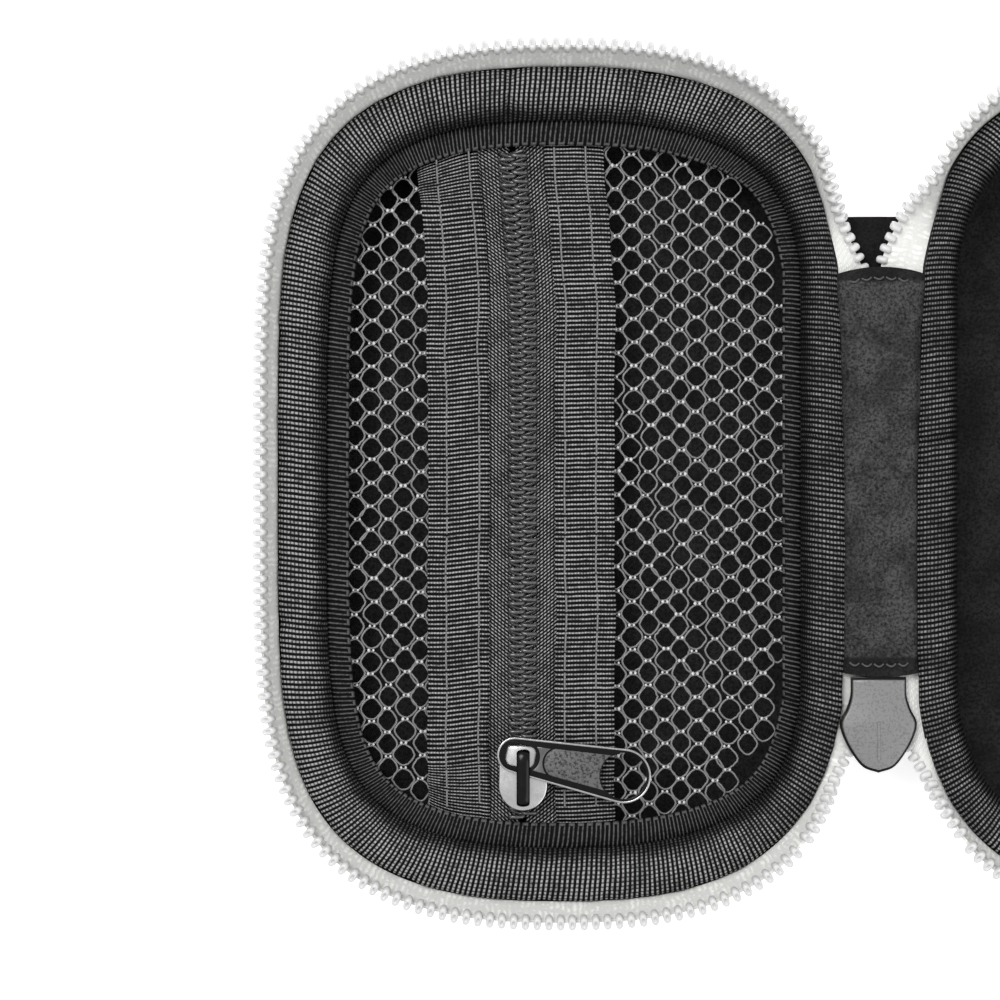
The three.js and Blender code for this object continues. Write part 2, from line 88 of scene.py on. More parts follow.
# The outline of a half is a superellipse. Insets are smaller along its long sides.
WIDTH_POWER = 2.53
LENGTH_POWER = 4.56
HINGE_SIDE_TIGHTER = 0.28
FREE_SIDE_TIGHTER = 0.08

# The main zip stands on the rim and leans out. Its end runs lie down across the spine.
TAPE_ROOT_Z = RIM_Z - 0.15
TEETH_TOP_Z = node_box("pocket_zip_teeth")[1][2]
TAPE_ROOT_OUT = -0.375
TAPE_LEAN = 2.6
TAPE_THICKNESS = 0.45
TOOTH_PITCH = 1.78
ZIP_TOP_Y = 50
ZIP_BOTTOM_Y = -53.5

# ---- Numbers and lines ---------------------------------------------------------------------------------


def smooth(t):
    t = np.clip(t, 0, 1)
    return t * t * (3 - 2 * t)


def wobble(along, seed, longest, shortest, count=6):
    """Smooth noise from about -1 to 1 along a line, with waves between two lengths."""
    random = np.random.default_rng(seed)
    total = 0
    for wave in np.geomspace(longest, shortest, count):
        total = total + np.sin(TURN * (along / wave + random.random()))
    return total / math.sqrt(count) / 1.5


def spaced(line, count, closed=False):
    """Evenly spaced points along a line of points."""
    line = np.asarray(line, float)
    if closed:
        line = np.vstack([line, line[:1]])
    length = np.concatenate([[0], np.cumsum(np.linalg.norm(np.diff(line, axis=0), axis=1))])
    target = np.linspace(0, length[-1], count, endpoint=not closed)
    return np.stack([np.interp(target, length, axis) for axis in line.T], axis=1)


def spline(points, count, closed=False):
    """Evenly spaced points on a smooth line through a few points."""
    points = np.asarray(points, float)
    if closed:
        padded = np.vstack([points[-1:], points, points[:2]])
    else:
        padded = np.vstack([2 * points[:1] - points[1:2], points, 2 * points[-1:] - points[-2:-1]])
    t = np.linspace(0, 1, 24, endpoint=False)[:, None]
    pieces = []
    for a, b, c, d in zip(padded, padded[1:], padded[2:], padded[3:]):
        square = (2 * a - 5 * b + 4 * c - d) * t**2
        cube = (3 * b - a - 3 * c + d) * t**3
        pieces.append(0.5 * (2 * b + (c - a) * t + square + cube))
    if not closed:
        pieces.append(points[-1:])
    return spaced(np.vstack(pieces), count, closed)


def outline_table(count=6000):
    angle = np.linspace(0, TURN, 20001)
    cosine, sine = np.cos(angle), np.sin(angle)
    x = np.sign(cosine) * HALF_WIDTH * np.abs(cosine) ** (2 / WIDTH_POWER)
    y = np.sign(sine) * HALF_LENGTH * np.abs(sine) ** (2 / LENGTH_POWER)
    place = spaced(np.stack([x, y], axis=1), count + 1)
    away_x = np.sign(place[:, 0]) * WIDTH_POWER * np.abs(place[:, 0] / HALF_WIDTH) ** (WIDTH_POWER - 1)
    away_y = np.sign(place[:, 1]) * LENGTH_POWER * np.abs(place[:, 1] / HALF_LENGTH) ** (LENGTH_POWER - 1)
    normal = np.stack([away_x / HALF_WIDTH, away_y / HALF_LENGTH], axis=1)
    arc = np.concatenate([[0], np.cumsum(np.linalg.norm(np.diff(place, axis=0), axis=1))])
    return arc, place, normal / np.linalg.norm(normal, axis=1, keepdims=True)


OUTLINE_ARC, OUTLINE_PLACE, OUTLINE_NORMAL = outline_table()
RIM_LENGTH = OUTLINE_ARC[-1]


def outline_at(arc):
    """Places and outward normals round a half's outline, by distance from its hinge side's middle."""
    arc = np.mod(arc, RIM_LENGTH)
    place = np.stack([np.interp(arc, OUTLINE_ARC, axis) for axis in OUTLINE_PLACE.T], axis=-1)
    normal = np.stack([np.interp(arc, OUTLINE_ARC, axis) for axis in OUTLINE_NORMAL.T], axis=-1)
    return place, normal


def arc_towards(degrees):
    """The distance round the outline of its point in a direction from the half's middle."""
    direction = np.array([math.cos(math.radians(degrees)), math.sin(math.radians(degrees))])
    towards = OUTLINE_PLACE @ direction / np.linalg.norm(OUTLINE_PLACE, axis=1)
    return OUTLINE_ARC[np.argmax(towards)]


def rim_points(arc, inset, height):
    """Points of the pocket half at insets from the outline."""
    arc, inset, height = np.broadcast_arrays(arc, inset, height)
    place, normal = outline_at(arc)
    tighter = np.where(normal[..., 0] > 0, HINGE_SIDE_TIGHTER, FREE_SIDE_TIGHTER) * normal[..., 0] ** 2
    reach = inset * (1 - tighter)
    x = place[..., 0] - normal[..., 0] * reach
    x = np.minimum(x, HALF_CENTRE_X - HINGE_EDGE_X - inset * (1 - HINGE_SIDE_TIGHTER))
    y = place[..., 1] - normal[..., 1] * reach
    return np.stack([x - HALF_CENTRE_X, y, height], axis=-1)


def section_normals(section, closed=True):
    """Normals of a section's (inset, height) points, to the left of its direction."""
    if closed:
        along = np.roll(section, -1, axis=0) - np.roll(section, 1, axis=0)
    else:
        along = np.gradient(section, axis=0)
    normal = np.stack([-along[:, 1], along[:, 0]], axis=1)
    return normal / np.linalg.norm(normal, axis=1, keepdims=True)


def half_breadth(height_y, inset):
    """Half the width of a half's outline, drawn in by an inset, at a distance from its middle along Y."""
    share = np.clip(np.abs(height_y) / (HALF_LENGTH - inset), 0, 1)
    return (HALF_WIDTH - inset) * (1 - share**LENGTH_POWER) ** (1 / WIDTH_POWER)


def half_reach(across_x, inset):
    """Half the length of a half's outline, drawn in by an inset, at a distance from its middle along X."""
    share = np.clip(np.abs(across_x) / (HALF_WIDTH - inset), 0, 1)
    return (HALF_LENGTH - inset) * (1 - share**WIDTH_POWER) ** (1 / LENGTH_POWER)


# ---- Meshes --------------------------------------------------------------------------------------------


def grid_faces(rows, columns, wrap_rows=False, wrap_columns=False):
    row = np.arange(rows if wrap_rows else rows - 1)
    column = np.arange(columns if wrap_columns else columns - 1)
    r, c = np.meshgrid(row, column, indexing="ij")
    next_r, next_c = (r + 1) % rows, (c + 1) % columns
    faces = [r * columns + c, next_r * columns + c, next_r * columns + next_c, r * columns + next_c]
    return np.stack(faces, axis=2).reshape(-1, 4)


def add_mesh(name, points, faces, material, uv=None, uv_turn=None):
    """A smooth mesh object facing out, from points in millimetres and arrays of faces by number of corners.

    uv_turn is how far the cloth's first coordinate runs round a closed ring before it starts again.
    """
    points = np.asarray(points, float).reshape(-1, 3)
    faces = [np.asarray(group, np.int64) for group in faces]
    corners = np.concatenate([group.ravel() for group in faces])
    sizes = np.concatenate([np.full(len(group), group.shape[1]) for group in faces])
    starts = np.cumsum(sizes) - sizes
    mesh = bpy.data.meshes.new(name)
    mesh.vertices.add(len(points))
    mesh.vertices.foreach_set("co", (points * MM).ravel())
    mesh.loops.add(len(corners))
    mesh.loops.foreach_set("vertex_index", corners.astype(np.int32))
    mesh.polygons.add(len(sizes))
    mesh.polygons.foreach_set("loop_start", starts.astype(np.int32))
    mesh.polygons.foreach_set("use_smooth", np.ones(len(sizes), bool))
    mesh.update(calc_edges=True)
    if uv is not None:
        placed = np.asarray(uv, float).reshape(-1, 2)[corners]
        if uv_turn:
            face_of = np.repeat(np.arange(len(sizes)), sizes)
            most = np.maximum.reduceat(placed[:, 0], starts)[face_of]
            placed[:, 0] += np.where(most - placed[:, 0] > uv_turn / 2, uv_turn, 0)
        mesh.uv_layers.new(name="cloth").data.foreach_set("uv", placed.astype(np.float32).ravel())
    mesh.validate()
    mesh.calc_loop_triangles()
    triangles = np.zeros(len(mesh.loop_triangles) * 3, np.int32)
    mesh.loop_triangles.foreach_get("vertices", triangles)
    a, b, c = (points[triangles.reshape(-1, 3)[:, k]] for k in range(3))
    if np.einsum("ij,ij->i", a, np.cross(b, c)).sum() < 0:
        mesh.flip_normals()
    made = bpy.data.objects.new(name, mesh)
    bpy.context.scene.collection.objects.link(made)
    made.data.materials.append(material)
    return made


def add_ring(name, grid, material, uv=None, uv_turn=None):
    """A closed ring: rows go round the half, and columns round its section."""
    faces = [grid_faces(*grid.shape[:2], True, True)]
    return add_mesh(name, grid, faces, material, uv, uv_turn)


def add_strip(name, top, bottom, material, uv):
    """A solid strip between two grids of points with the same rows. Its columns wrap round the edges."""
    grid = np.concatenate([top, bottom[:, ::-1]], axis=1)
    rows, columns = grid.shape[:2]
    under = np.repeat(uv[:, -1:], bottom.shape[1], axis=1)
    ends = [np.arange(columns)[None, :], ((rows - 1) * columns + np.arange(columns))[None, ::-1]]
    faces = [grid_faces(rows, columns, False, True), *ends]
    made = add_mesh(name, grid, faces, material, np.concatenate([uv, under], axis=1))
    made.data.set_sharp_from_angle(angle=math.radians(60))
    return made


def mirrored(made, name):
    """A copy on the other side of the spine."""
    copy = made.copy()
    copy.data = made.data.copy()
    copy.name = copy.data.name = name
    corner = np.zeros(len(copy.data.vertices) * 3)
    copy.data.vertices.foreach_get("co", corner)
    copy.data.vertices.foreach_set("co", (corner.reshape(-1, 3) * (-1, 1, 1)).ravel())
    copy.data.flip_normals()
    bpy.context.scene.collection.objects.link(copy)
    return copy


def scattered(template, faces, origins, axes):
    """Copies of a small shape: its points times each set of three axes, moved to each origin."""
    points = np.einsum("sk,nkd->nsd", template, axes) + origins[:, None, :]
    shifts = (np.arange(len(origins)) * len(template))[:, None, None]
    return points.reshape(-1, 3), [(group[None] + shifts).reshape(-1, group.shape[1]) for group in faces]


def tube(path, across, sides=6, closed=False, flat=1.0):
    """Points and faces of a tube along a path. flat is its thickness, which lies upwards, over its width."""
    path = np.asarray(path, float)
    along = np.roll(path, -1, axis=0) - np.roll(path, 1, axis=0) if closed else np.gradient(path, axis=0)
    along /= np.linalg.norm(along, axis=1, keepdims=True)
    side = np.array([0.0, 0, 1]) if abs(along[0, 2]) < 0.9 else np.array([0.0, 1, 0])
    ups = np.zeros_like(path)
    for i, direction in enumerate(along):
        side = side - direction * side.dot(direction)
        side /= np.linalg.norm(side)
        ups[i] = side
    turn = TURN * np.arange(sides) / sides
    across = np.broadcast_to(np.asarray(across, float), len(path))[:, None, None]
    level = np.cross(along, ups)[:, None]
    around = np.cos(turn)[:, None] * flat * ups[:, None] + np.sin(turn)[:, None] * level
    rings = path[:, None] + across * around
    faces = [grid_faces(len(rings), sides, closed, True)]
    if not closed:
        faces += [np.arange(sides)[None, ::-1], ((len(rings) - 1) * sides + np.arange(sides))[None]]
    return rings.reshape(-1, 3), faces


def merged(parts):
    """One set of points and faces from several."""
    points, faces, start = [], [], 0
    for part_points, part_faces in parts:
        points.append(part_points)
        faces += [group + start for group in part_faces]
        start += len(part_points)
    return np.vstack(points), faces


def plate(loops, low, high, bevel):
    """Points and faces of a flat plate between two heights. Its loops are an outline, then any holes."""
    curve = bpy.data.curves.new("plate", "CURVE")
    curve.dimensions = "2D"
    curve.fill_mode = "BOTH"
    curve.extrude = (high - low) / 2 - bevel
    curve.bevel_depth = bevel
    curve.bevel_resolution = 2
    curve.offset = -bevel
    for loop in loops:
        line = curve.splines.new("POLY")
        line.points.add(len(loop) - 1)
        corners = np.column_stack([loop, np.zeros(len(loop)), np.ones(len(loop))])
        line.points.foreach_set("co", corners.ravel())
        line.use_cyclic_u = True
    drawn = bpy.data.objects.new("plate", curve)
    bpy.context.scene.collection.objects.link(drawn)
    mesh = bpy.data.meshes.new_from_object(drawn.evaluated_get(bpy.context.evaluated_depsgraph_get()))
    bpy.data.objects.remove(drawn)
    shape = bmesh.new()
    shape.from_mesh(mesh)
    bmesh.ops.remove_doubles(shape, verts=shape.verts, dist=0.001)
    bmesh.ops.recalc_face_normals(shape, faces=shape.faces)
    points = np.array([vertex.co for vertex in shape.verts]) + (0, 0, (low + high) / 2)
    by_size = {}
    for face in shape.faces:
        by_size.setdefault(len(face.verts), []).append([vertex.index for vertex in face.verts])
    shape.free()
    bpy.data.meshes.remove(mesh)
    return points, [np.array(group) for group in by_size.values()]


def settle(made, body, replaces=()):
    """A finished piece rides on its body, or is baked where it lies when given the two bodies either side of a
    fold, and stands for its nodes.
    """
    if isinstance(body, str):
        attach(made, body)
    else:
        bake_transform(made)
    if replaces:
        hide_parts(*replaces)


# Cloth that crosses a fold is given these stretches, from a half to the spine, with its two bodies.
BEND_X = [x * FOLD_X * MM for x in (-1.0, -0.6, 0.6, 1.0)]
BEND_PLACES = [(x, 0, RIM_Z * MM) for x in BEND_X]
POCKET_TO_SPINE = ("pocket_half", "spine", *BEND_PLACES[:2])
SPINE_TO_LID = ("spine", "lid_half", *BEND_PLACES[2:])


# ---- Materials -----------------------------------------------------------------------------------------


class Look:
    """The node tree of a new material, with short calls for the nodes used here."""

    def __init__(self, name, **settings):
        self.material = bpy.data.materials.new(name)
        self.material.use_nodes = True
        self.tree = self.material.node_tree
        self.shader = self.tree.nodes["Principled BSDF"]
        for socket, value in settings.items():
            self.shader.inputs[socket.replace("_", " ")].default_value = value

    def node(self, kind, inputs, **settings):
        made = self.tree.nodes.new(kind)
        for key, value in settings.items():
            setattr(made, key, value)
        for key, value in inputs.items():
            if isinstance(value, bpy.types.NodeSocket):
                self.tree.links.new(value, made.inputs[key])
            else:
                made.inputs[key].default_value = value
        return made

    def maths(self, operation, a, b=0.0, c=0.0):
        return self.node("ShaderNodeMath", {0: a, 1: b, 2: c}, operation=operation).outputs[0]

    def noise(self, size, detail=3.0, roughness=0.6):
        place = self.node("ShaderNodeTexCoord", {}).outputs["Object"]
        inputs = {"Vector": place, "Scale": 1 / (size * MM), "Detail": detail, "Roughness": roughness}
        return self.node("ShaderNodeTexNoise", inputs).outputs["Fac"]

    def cloth_place(self):
        place = self.node("ShaderNodeUVMap", {}, uv_map="cloth").outputs["UV"]
        split = self.node("ShaderNodeSeparateXYZ", {0: place})
        return split.outputs["X"], split.outputs["Y"]

    def ridges(self, distance, pitch):
        """A wave from 0 to 1 and back over each pitch in millimetres, lowest at 0."""
        turned = self.maths("MULTIPLY", distance, TURN / pitch)
        return self.maths("MULTIPLY_ADD", self.maths("COSINE", turned), -0.5, 0.5)

    def between(self, value, low, high):
        """Rises smoothly from 0 to 1 as a value goes from low to high."""
        inputs = {"Value": value, "From Min": low, "From Max": high}
        return self.node("ShaderNodeMapRange", inputs, interpolation_type="SMOOTHSTEP").outputs["Result"]

    def mix(self, share, dark, light):
        made = self.node("ShaderNodeMix", {0: share}, data_type="RGBA")
        for socket, value in ((6, dark), (7, light)):
            made.inputs[socket].default_value = (*value, 1)
        return made.outputs[2]

    def set(self, socket, value):
        self.tree.links.new(value, self.shader.inputs[socket])

    def bump(self, height, depth):
        inputs = {"Height": height, "Distance": depth * MM}
        self.set("Normal", self.node("ShaderNodeBump", inputs).outputs["Normal"])


def grey(value, tint=(1.0, 1.0, 1.0)):
    return tuple(value * share for share in tint)


def ribbed_cloth(
    name, rib_pitch, bead_pitch, crest_sheen, bead_depth, slant=0.0, gap=(0.3, 0.85),
    wear_and_crease_shade=None, loops_at=None, hinge_shade=None,
):
    """Black ribbon with painted light: painted shade in the gaps between its ribs, and a painted sheen on each
    rib's top, broken into a row of beads by the threads that cross it.

    wear_and_crease_shade is where across the ribbon painted shade sets in and is full, darkening it towards
    the crease at its inner edge. From loops_at on, neighbouring ribs are joined in pairs. hinge_shade is how
    far from the hinge side's middle the ribbon has painted shade, and from where on it has its full painted
    sheen.
    """
    made = Look(name, Roughness=0.6, Specular_IOR_Level=0.04)
    along, across = made.cloth_place()
    loose = made.maths("MULTIPLY_ADD", made.noise(3.0, 2.0), 0.3 * rib_pitch, -0.15 * rib_pitch)
    rib_at = made.maths("ADD", made.maths("MULTIPLY_ADD", across, slant, along), loose)
    rib = made.between(made.ridges(rib_at, rib_pitch), *gap)
    if loops_at:
        pair = made.between(made.ridges(rib_at, 2 * rib_pitch), 0.4, 0.6)
        pair = made.maths("MULTIPLY", pair, made.between(across, loops_at, loops_at + 0.15))
        rib = made.maths("MAXIMUM", rib, pair)
    bead_at = made.maths("MULTIPLY_ADD", made.noise(1.6, 2.0), 0.5 * bead_pitch, across)
    bead = made.between(made.ridges(bead_at, bead_pitch), 0.05, 0.6)
    bead = made.maths("MULTIPLY_ADD", bead, bead_depth, 1 - bead_depth)
    thread = made.maths("MULTIPLY_ADD", made.between(made.noise(0.6, 3.0), 0.3, 0.7), 1.0, 0.5)
    patch = made.maths("MULTIPLY_ADD", made.between(made.noise(5.0, 3.0), 0.3, 0.7), 0.7, 0.65)
    lit = made.maths("MULTIPLY", made.maths("MULTIPLY", rib, bead), made.maths("MULTIPLY", thread, patch))
    # Painted shade, darker towards the crease at the ribbon's inner edge.
    if wear_and_crease_shade:
        lit = made.maths("MULTIPLY", lit, made.maths("MULTIPLY_ADD", made.between(across, *wear_and_crease_shade), -0.8, 1.0))
    # Painted shade along the hinge side, giving way to the full painted sheen further round.
    if hinge_shade:
        from_far_side = made.maths("ABSOLUTE", made.maths("SUBTRACT", along, RIM_LENGTH / 2))
        from_hinge = made.maths("SUBTRACT", RIM_LENGTH / 2, from_far_side)
        sheen = made.maths("MULTIPLY_ADD", made.between(from_hinge, *hinge_shade), 0.55, 0.45)
        lit = made.maths("MULTIPLY", lit, sheen)
    # Base colour: painted shade in the rib gaps, and a painted sheen on the rib tops.
    made.set("Base Color", made.mix(lit, grey(0.004), grey(crest_sheen)))
    made.bump(made.maths("MULTIPLY", rib, bead), 0.12)
    return made.material


def woven_cloth(
    name, dark, light, pitch_along, pitch_across, gloss, depth, slant=0.0, tint=(1, 1, 1), patch=0.5
):
    """Weave on a surface whose cloth coordinates are in millimetres."""
    made = Look(name, Roughness=gloss, Specular_IOR_Level=0.2)
    along, across = made.cloth_place()
    loose = made.maths("MULTIPLY_ADD", made.noise(2.5, 3.0), 1.2 * pitch_along, -0.6 * pitch_along)
    across = made.maths("ADD", across, loose)
    slanted = made.maths("MULTIPLY_ADD", across, slant, along)
    one_way = made.ridges(made.maths("ADD", slanted, loose), pitch_along)
    other_way = made.ridges(across, pitch_across)
    height = made.maths("MULTIPLY", one_way, other_way)
    fibres = made.noise(0.4, 4.0)
    broad = made.maths("MULTIPLY_ADD", made.noise(12.0, 3.0), patch, 1 - patch / 2)
    share = made.maths("MULTIPLY_ADD", fibres, 0.5, made.maths("MULTIPLY", height, 0.75))
    share = made.maths("MULTIPLY", share, broad)
    made.set("Base Color", made.mix(share, grey(dark, tint), grey(light, tint)))
    made.bump(made.maths("MULTIPLY_ADD", fibres, 0.3, height), depth)
    return made.material


def knit_cloth(name, dark, light, grain, gloss=0.85, depth=0.15, hems=None):
    """Brushed knit: fine grain with larger uneven patches, and painted shade on the hems beyond two places along
    it.
    """
    made = Look(name, Roughness=gloss, Specular_IOR_Level=0.15)
    fine = made.noise(grain, 5.0, 0.7)
    patch = made.maths("MULTIPLY_ADD", made.between(made.noise(6.0, 4.0), 0.3, 0.7), 1.0, 0.5)
    share = made.maths("MULTIPLY", made.between(fine, 0.3, 0.7), patch)
    # Painted shade on the hems at both ends of the strip.
    if hems:
        along = made.cloth_place()[1]
        inside_low = made.between(along, hems[0], hems[0] + 0.6)
        inside_high = made.between(along, hems[1] - 0.6, hems[1])
        plain = made.maths("SUBTRACT", inside_low, inside_high)
        share = made.maths("MULTIPLY", share, made.maths("MULTIPLY_ADD", plain, 0.8, 0.2))
    made.set("Base Color", made.mix(share, grey(dark), grey(light)))
    made.bump(fine, depth)
    return made.material


def plastic(name, colour, gloss, coat=0.0, shade=0.25, size=1.2):
    """Moulded or drawn plastic with a faint unevenness."""
    made = Look(name, Roughness=gloss, Coat_Weight=coat)
    uneven = made.maths("MULTIPLY_ADD", made.noise(size, 3.0), shade, 1 - shade / 2)
    made.set("Base Color", made.mix(uneven, (0, 0, 0), colour))
    made.bump(made.noise(0.4, 2.0), 0.01)
    return made.material


def cast_metal(name, colour, gloss, depth, metallic=1.0, size=0.3, speckle=0.0):
    """Plated or painted cast metal with fine grain and worn patches."""
    made = Look(name, Metallic=metallic)
    wear_and_crease_shade = made.maths("MULTIPLY_ADD", made.noise(1.6, 4.0), 0.5, 0.75)
    if speckle:
        grain = made.between(made.noise(size, 3.0), 0.35, 0.65)
        wear_and_crease_shade = made.maths("MULTIPLY", wear_and_crease_shade, made.maths("MULTIPLY_ADD", grain, 2 * speckle, 1 - speckle))
    made.set("Base Color", made.mix(wear_and_crease_shade, (0, 0, 0), colour))
    made.set("Roughness", made.maths("MULTIPLY_ADD", made.noise(0.8, 4.0), 0.2, gloss - 0.1))
    made.bump(made.noise(size, 4.0), depth)
    return made.material


RIM_RIB = RIM_LENGTH / round(RIM_LENGTH / 0.81)
EDGE_RIB = RIM_LENGTH / round(RIM_LENGTH / 0.78)
BEAD = 0.64
TRIM_RIB = 0.72

# The rim ribbon gets painted crease shade and painted shade on its hinge side.
BINDING = ribbed_cloth("binding_grosgrain", RIM_RIB, BEAD, 0.36, 0.8, wear_and_crease_shade=(6.0, 9.0), hinge_shade=(45, 75))
EDGE_BINDING = ribbed_cloth("edge_grosgrain", EDGE_RIB, BEAD, 0.10, 0.3, gap=(0.45, 1.0), loops_at=4.35)
TRIM = ribbed_cloth("trim_grosgrain", TRIM_RIB, 0.5, 0.38, 0.65, gap=(0.45, 1.0))
THREAD = plastic("stitch_thread", grey(0.17), 0.5)
SPINE_THREAD = plastic("spine_thread", grey(0.06), 0.5)
STRAND = plastic("mesh_strand", grey(0.17), 0.4, 0.2, 0.9, 1.0)
# The net's knots are much paler than its strands: a painted highlight where the threads meet.
KNOT_HIGHLIGHT = plastic("mesh_knot_highlight", grey(0.55), 0.35, 0.4)
COIL = plastic("coil_nylon", grey(0.05), 0.25, 1.0)
COVER = woven_cloth("cover_canvas", 0.008, 0.036, 0.85, 0.85, 0.8, 0.06)
LINING = knit_cloth("lining_cloth", 0.003, 0.020, 0.5)
FOAM = knit_cloth("foam_core", 0.03, 0.07, 0.8)
WHITE_TAPE = woven_cloth("white_zip_tape", 0.60, 0.92, 0.9, 0.36, 0.7, 0.05, 0.6, (0.99, 1.0, 0.965), 0.12)
WHITE_TEETH = plastic("white_teeth", (0.62, 0.625, 0.62), 0.35, 0.1, 0.12)
STRIP_LOW, STRIP_HIGH = node_box("hinge_inner_strip")
# Where the painted hem shade begins at each end of the spine strip.
STRIP_HEMS = (STRIP_LOW[1] + 1.6, STRIP_HIGH[1] - 1.4)
STRIP = knit_cloth("hinge_knit", 0.006, 0.070, 0.45, depth=0.25, hems=STRIP_HEMS)
OUTER_STRIP = knit_cloth("outer_strip_cloth", 0.003, 0.012, 0.4)
PALE_METAL = cast_metal("slider_plating", grey(0.62), 0.26, 0.003)
GREY_METAL = cast_metal("slider_paint", grey(0.22), 0.42, 0.02, 0.4, 0.35, 0.25)
DARK_METAL = cast_metal("gunmetal", grey(0.022), 0.2, 0.003)
RIM_METAL = cast_metal("bright_gunmetal", grey(0.50), 0.24, 0.003)
LAND_METAL = cast_metal("worn_gunmetal", grey(0.13), 0.35, 0.02, 0.7)
PANEL_METAL = cast_metal("grained_panel", grey(0.11), 0.45, 0.10, 0.5, 0.4, 0.8)

# ---- Trays: cover, foam and lining ---------------------------------------------------------------------

WALL_PROFILE = [(0, RIM_Z - 0.4), (0.5, 11), (2.0, 5.4), (5.0, 1.9), (9.0, 0.4), (12.5, 0)]
TRAY_STATIONS = 288
FLOOR_RINGS = 12
PRESSED_LINE_Z = RIM_Z - 5


def tray_face(arc, depth, press=0.0):
    """One face of a tray layer, from the rim down the wall and over the floor nearly to its middle."""
    line = spline(WALL_PROFILE, 44)
    normal = section_normals(line, closed=False)
    normal[0], normal[-1] = (1, 0), (0, 1)
    pressed = press * np.exp(-(((line[:, 1] - PRESSED_LINE_Z) / 0.55) ** 2))
    line = line + normal * (depth + pressed[:, None])
    wall = rim_points(arc[:, None], line[None, :, 0], line[None, :, 1])
    middle = np.array([-HALF_CENTRE_X, 0, line[-1, 1]])
    shares = np.linspace(0, 1, FLOOR_RINGS + 1)[None, 1:-1, None]
    return np.concatenate([wall, wall[:, -1:] * (1 - shares) + middle * shares], axis=1), middle


def tray(name, outer_depth, inner_depth, material, press=0.0):
    arc = np.arange(TRAY_STATIONS) * RIM_LENGTH / TRAY_STATIONS
    outer, outer_middle = tray_face(arc, outer_depth, press)
    inner, inner_middle = tray_face(arc, inner_depth)
    grid = np.concatenate([outer[:, ::-1], inner], axis=1)
    rows, columns = grid.shape[:2]
    row = np.arange(rows)
    following = (row + 1) % rows
    outer_fan = np.stack([following * columns, row * columns, np.full(rows, rows * columns)], axis=1)
    inner_end = columns - 1
    inner_middle_at = np.full(rows, rows * columns + 1)
    inner_fan = np.stack([row * columns + inner_end, following * columns + inner_end, inner_middle_at], axis=1)
    points = np.vstack([grid.reshape(-1, 3), outer_middle, inner_middle])
    uv = np.column_stack([points[:, 0] + points[:, 2] * 0.7, points[:, 1] + points[:, 2] * 0.7])
    return add_mesh(name, points, [grid_faces(rows, columns, True), outer_fan, inner_fan], material, uv)


def add_trays():
    layers = [
        ("cover", "outer_cover", 0, 0.6, COVER, "cover_canvas", 0.35),
        ("foam", "foam_shell", 0.9, 3.8, FOAM, "foam_core", 0),
        ("inner_cloth", "lining", 4.1, 4.6, LINING, "lining_cloth", 0),
    ]
    for title, node, outer_depth, inner_depth, material, slot, press in layers:
        left = tray(f"pocket_{title}", outer_depth, inner_depth, material, press)
        right = mirrored(left, f"lid_{title}")
        for made, half in ((left, "pocket"), (right, "lid")):
            settle(made, f"{half}_half", [f"{half}_{node}"])


# ---- Ribbon bindings -----------------------------------------------------------------------------------

RIM_TOP = [(0.9, -0.15), (0.9, 0.6), (1.9, 1.3), (3.8, 1.6), (6.0, 1.0), (7.8, -0.5), (8.7, -2.0)]
RIM_UNDER = [(8.7, -2.0), (7.7, -2.4), (5.2, -0.15), (0.9, -0.15)]
EDGE_TOP = [(8.3, -3.8), (8.4, -3.1), (10.0, -2.65), (11.6, -2.8), (12.45, -3.3)]
EDGE_UNDER = [(12.45, -3.3), (12.2, -3.75), (10.4, -3.6), (8.3, -3.8)]
RIM_SHEAR = 0.12
RIM_FULLNESS = 0.32

# Creases across the rim binding: direction from the half's middle, half width and depth.
CREASES = [(97, 0.8, 0.8), (114, 1.2, 0.45), (129, 1.4, 0.4), (235, 1.4, 0.4), (249, 1.2, 0.5)]
CREASES += [(52, 1.3, 0.4), (8.5, 0.5, 0.8), (300, 1.2, 0.5), (318, 1.1, 0.5), (206, 0.9, 0.4), (152, 0.9, 0.4)]
CREASES += [(78, 1.0, 0.45), (34, 1.6, 0.5)]


def hinge_pull(place_y):
    """How far the cloth on a rim's hinge side is drawn in towards its half, along the case."""
    return 0.9 * np.exp(-(((place_y - 41) / 12) ** 2)) - 1.3 * np.exp(-(((place_y + 12) / 32) ** 2))


def arc_from(arc, degrees):
    """The shorter way round the outline from its point in a direction from the half's middle."""
    return np.mod(arc - arc_towards(degrees) + RIM_LENGTH / 2, RIM_LENGTH) - RIM_LENGTH / 2


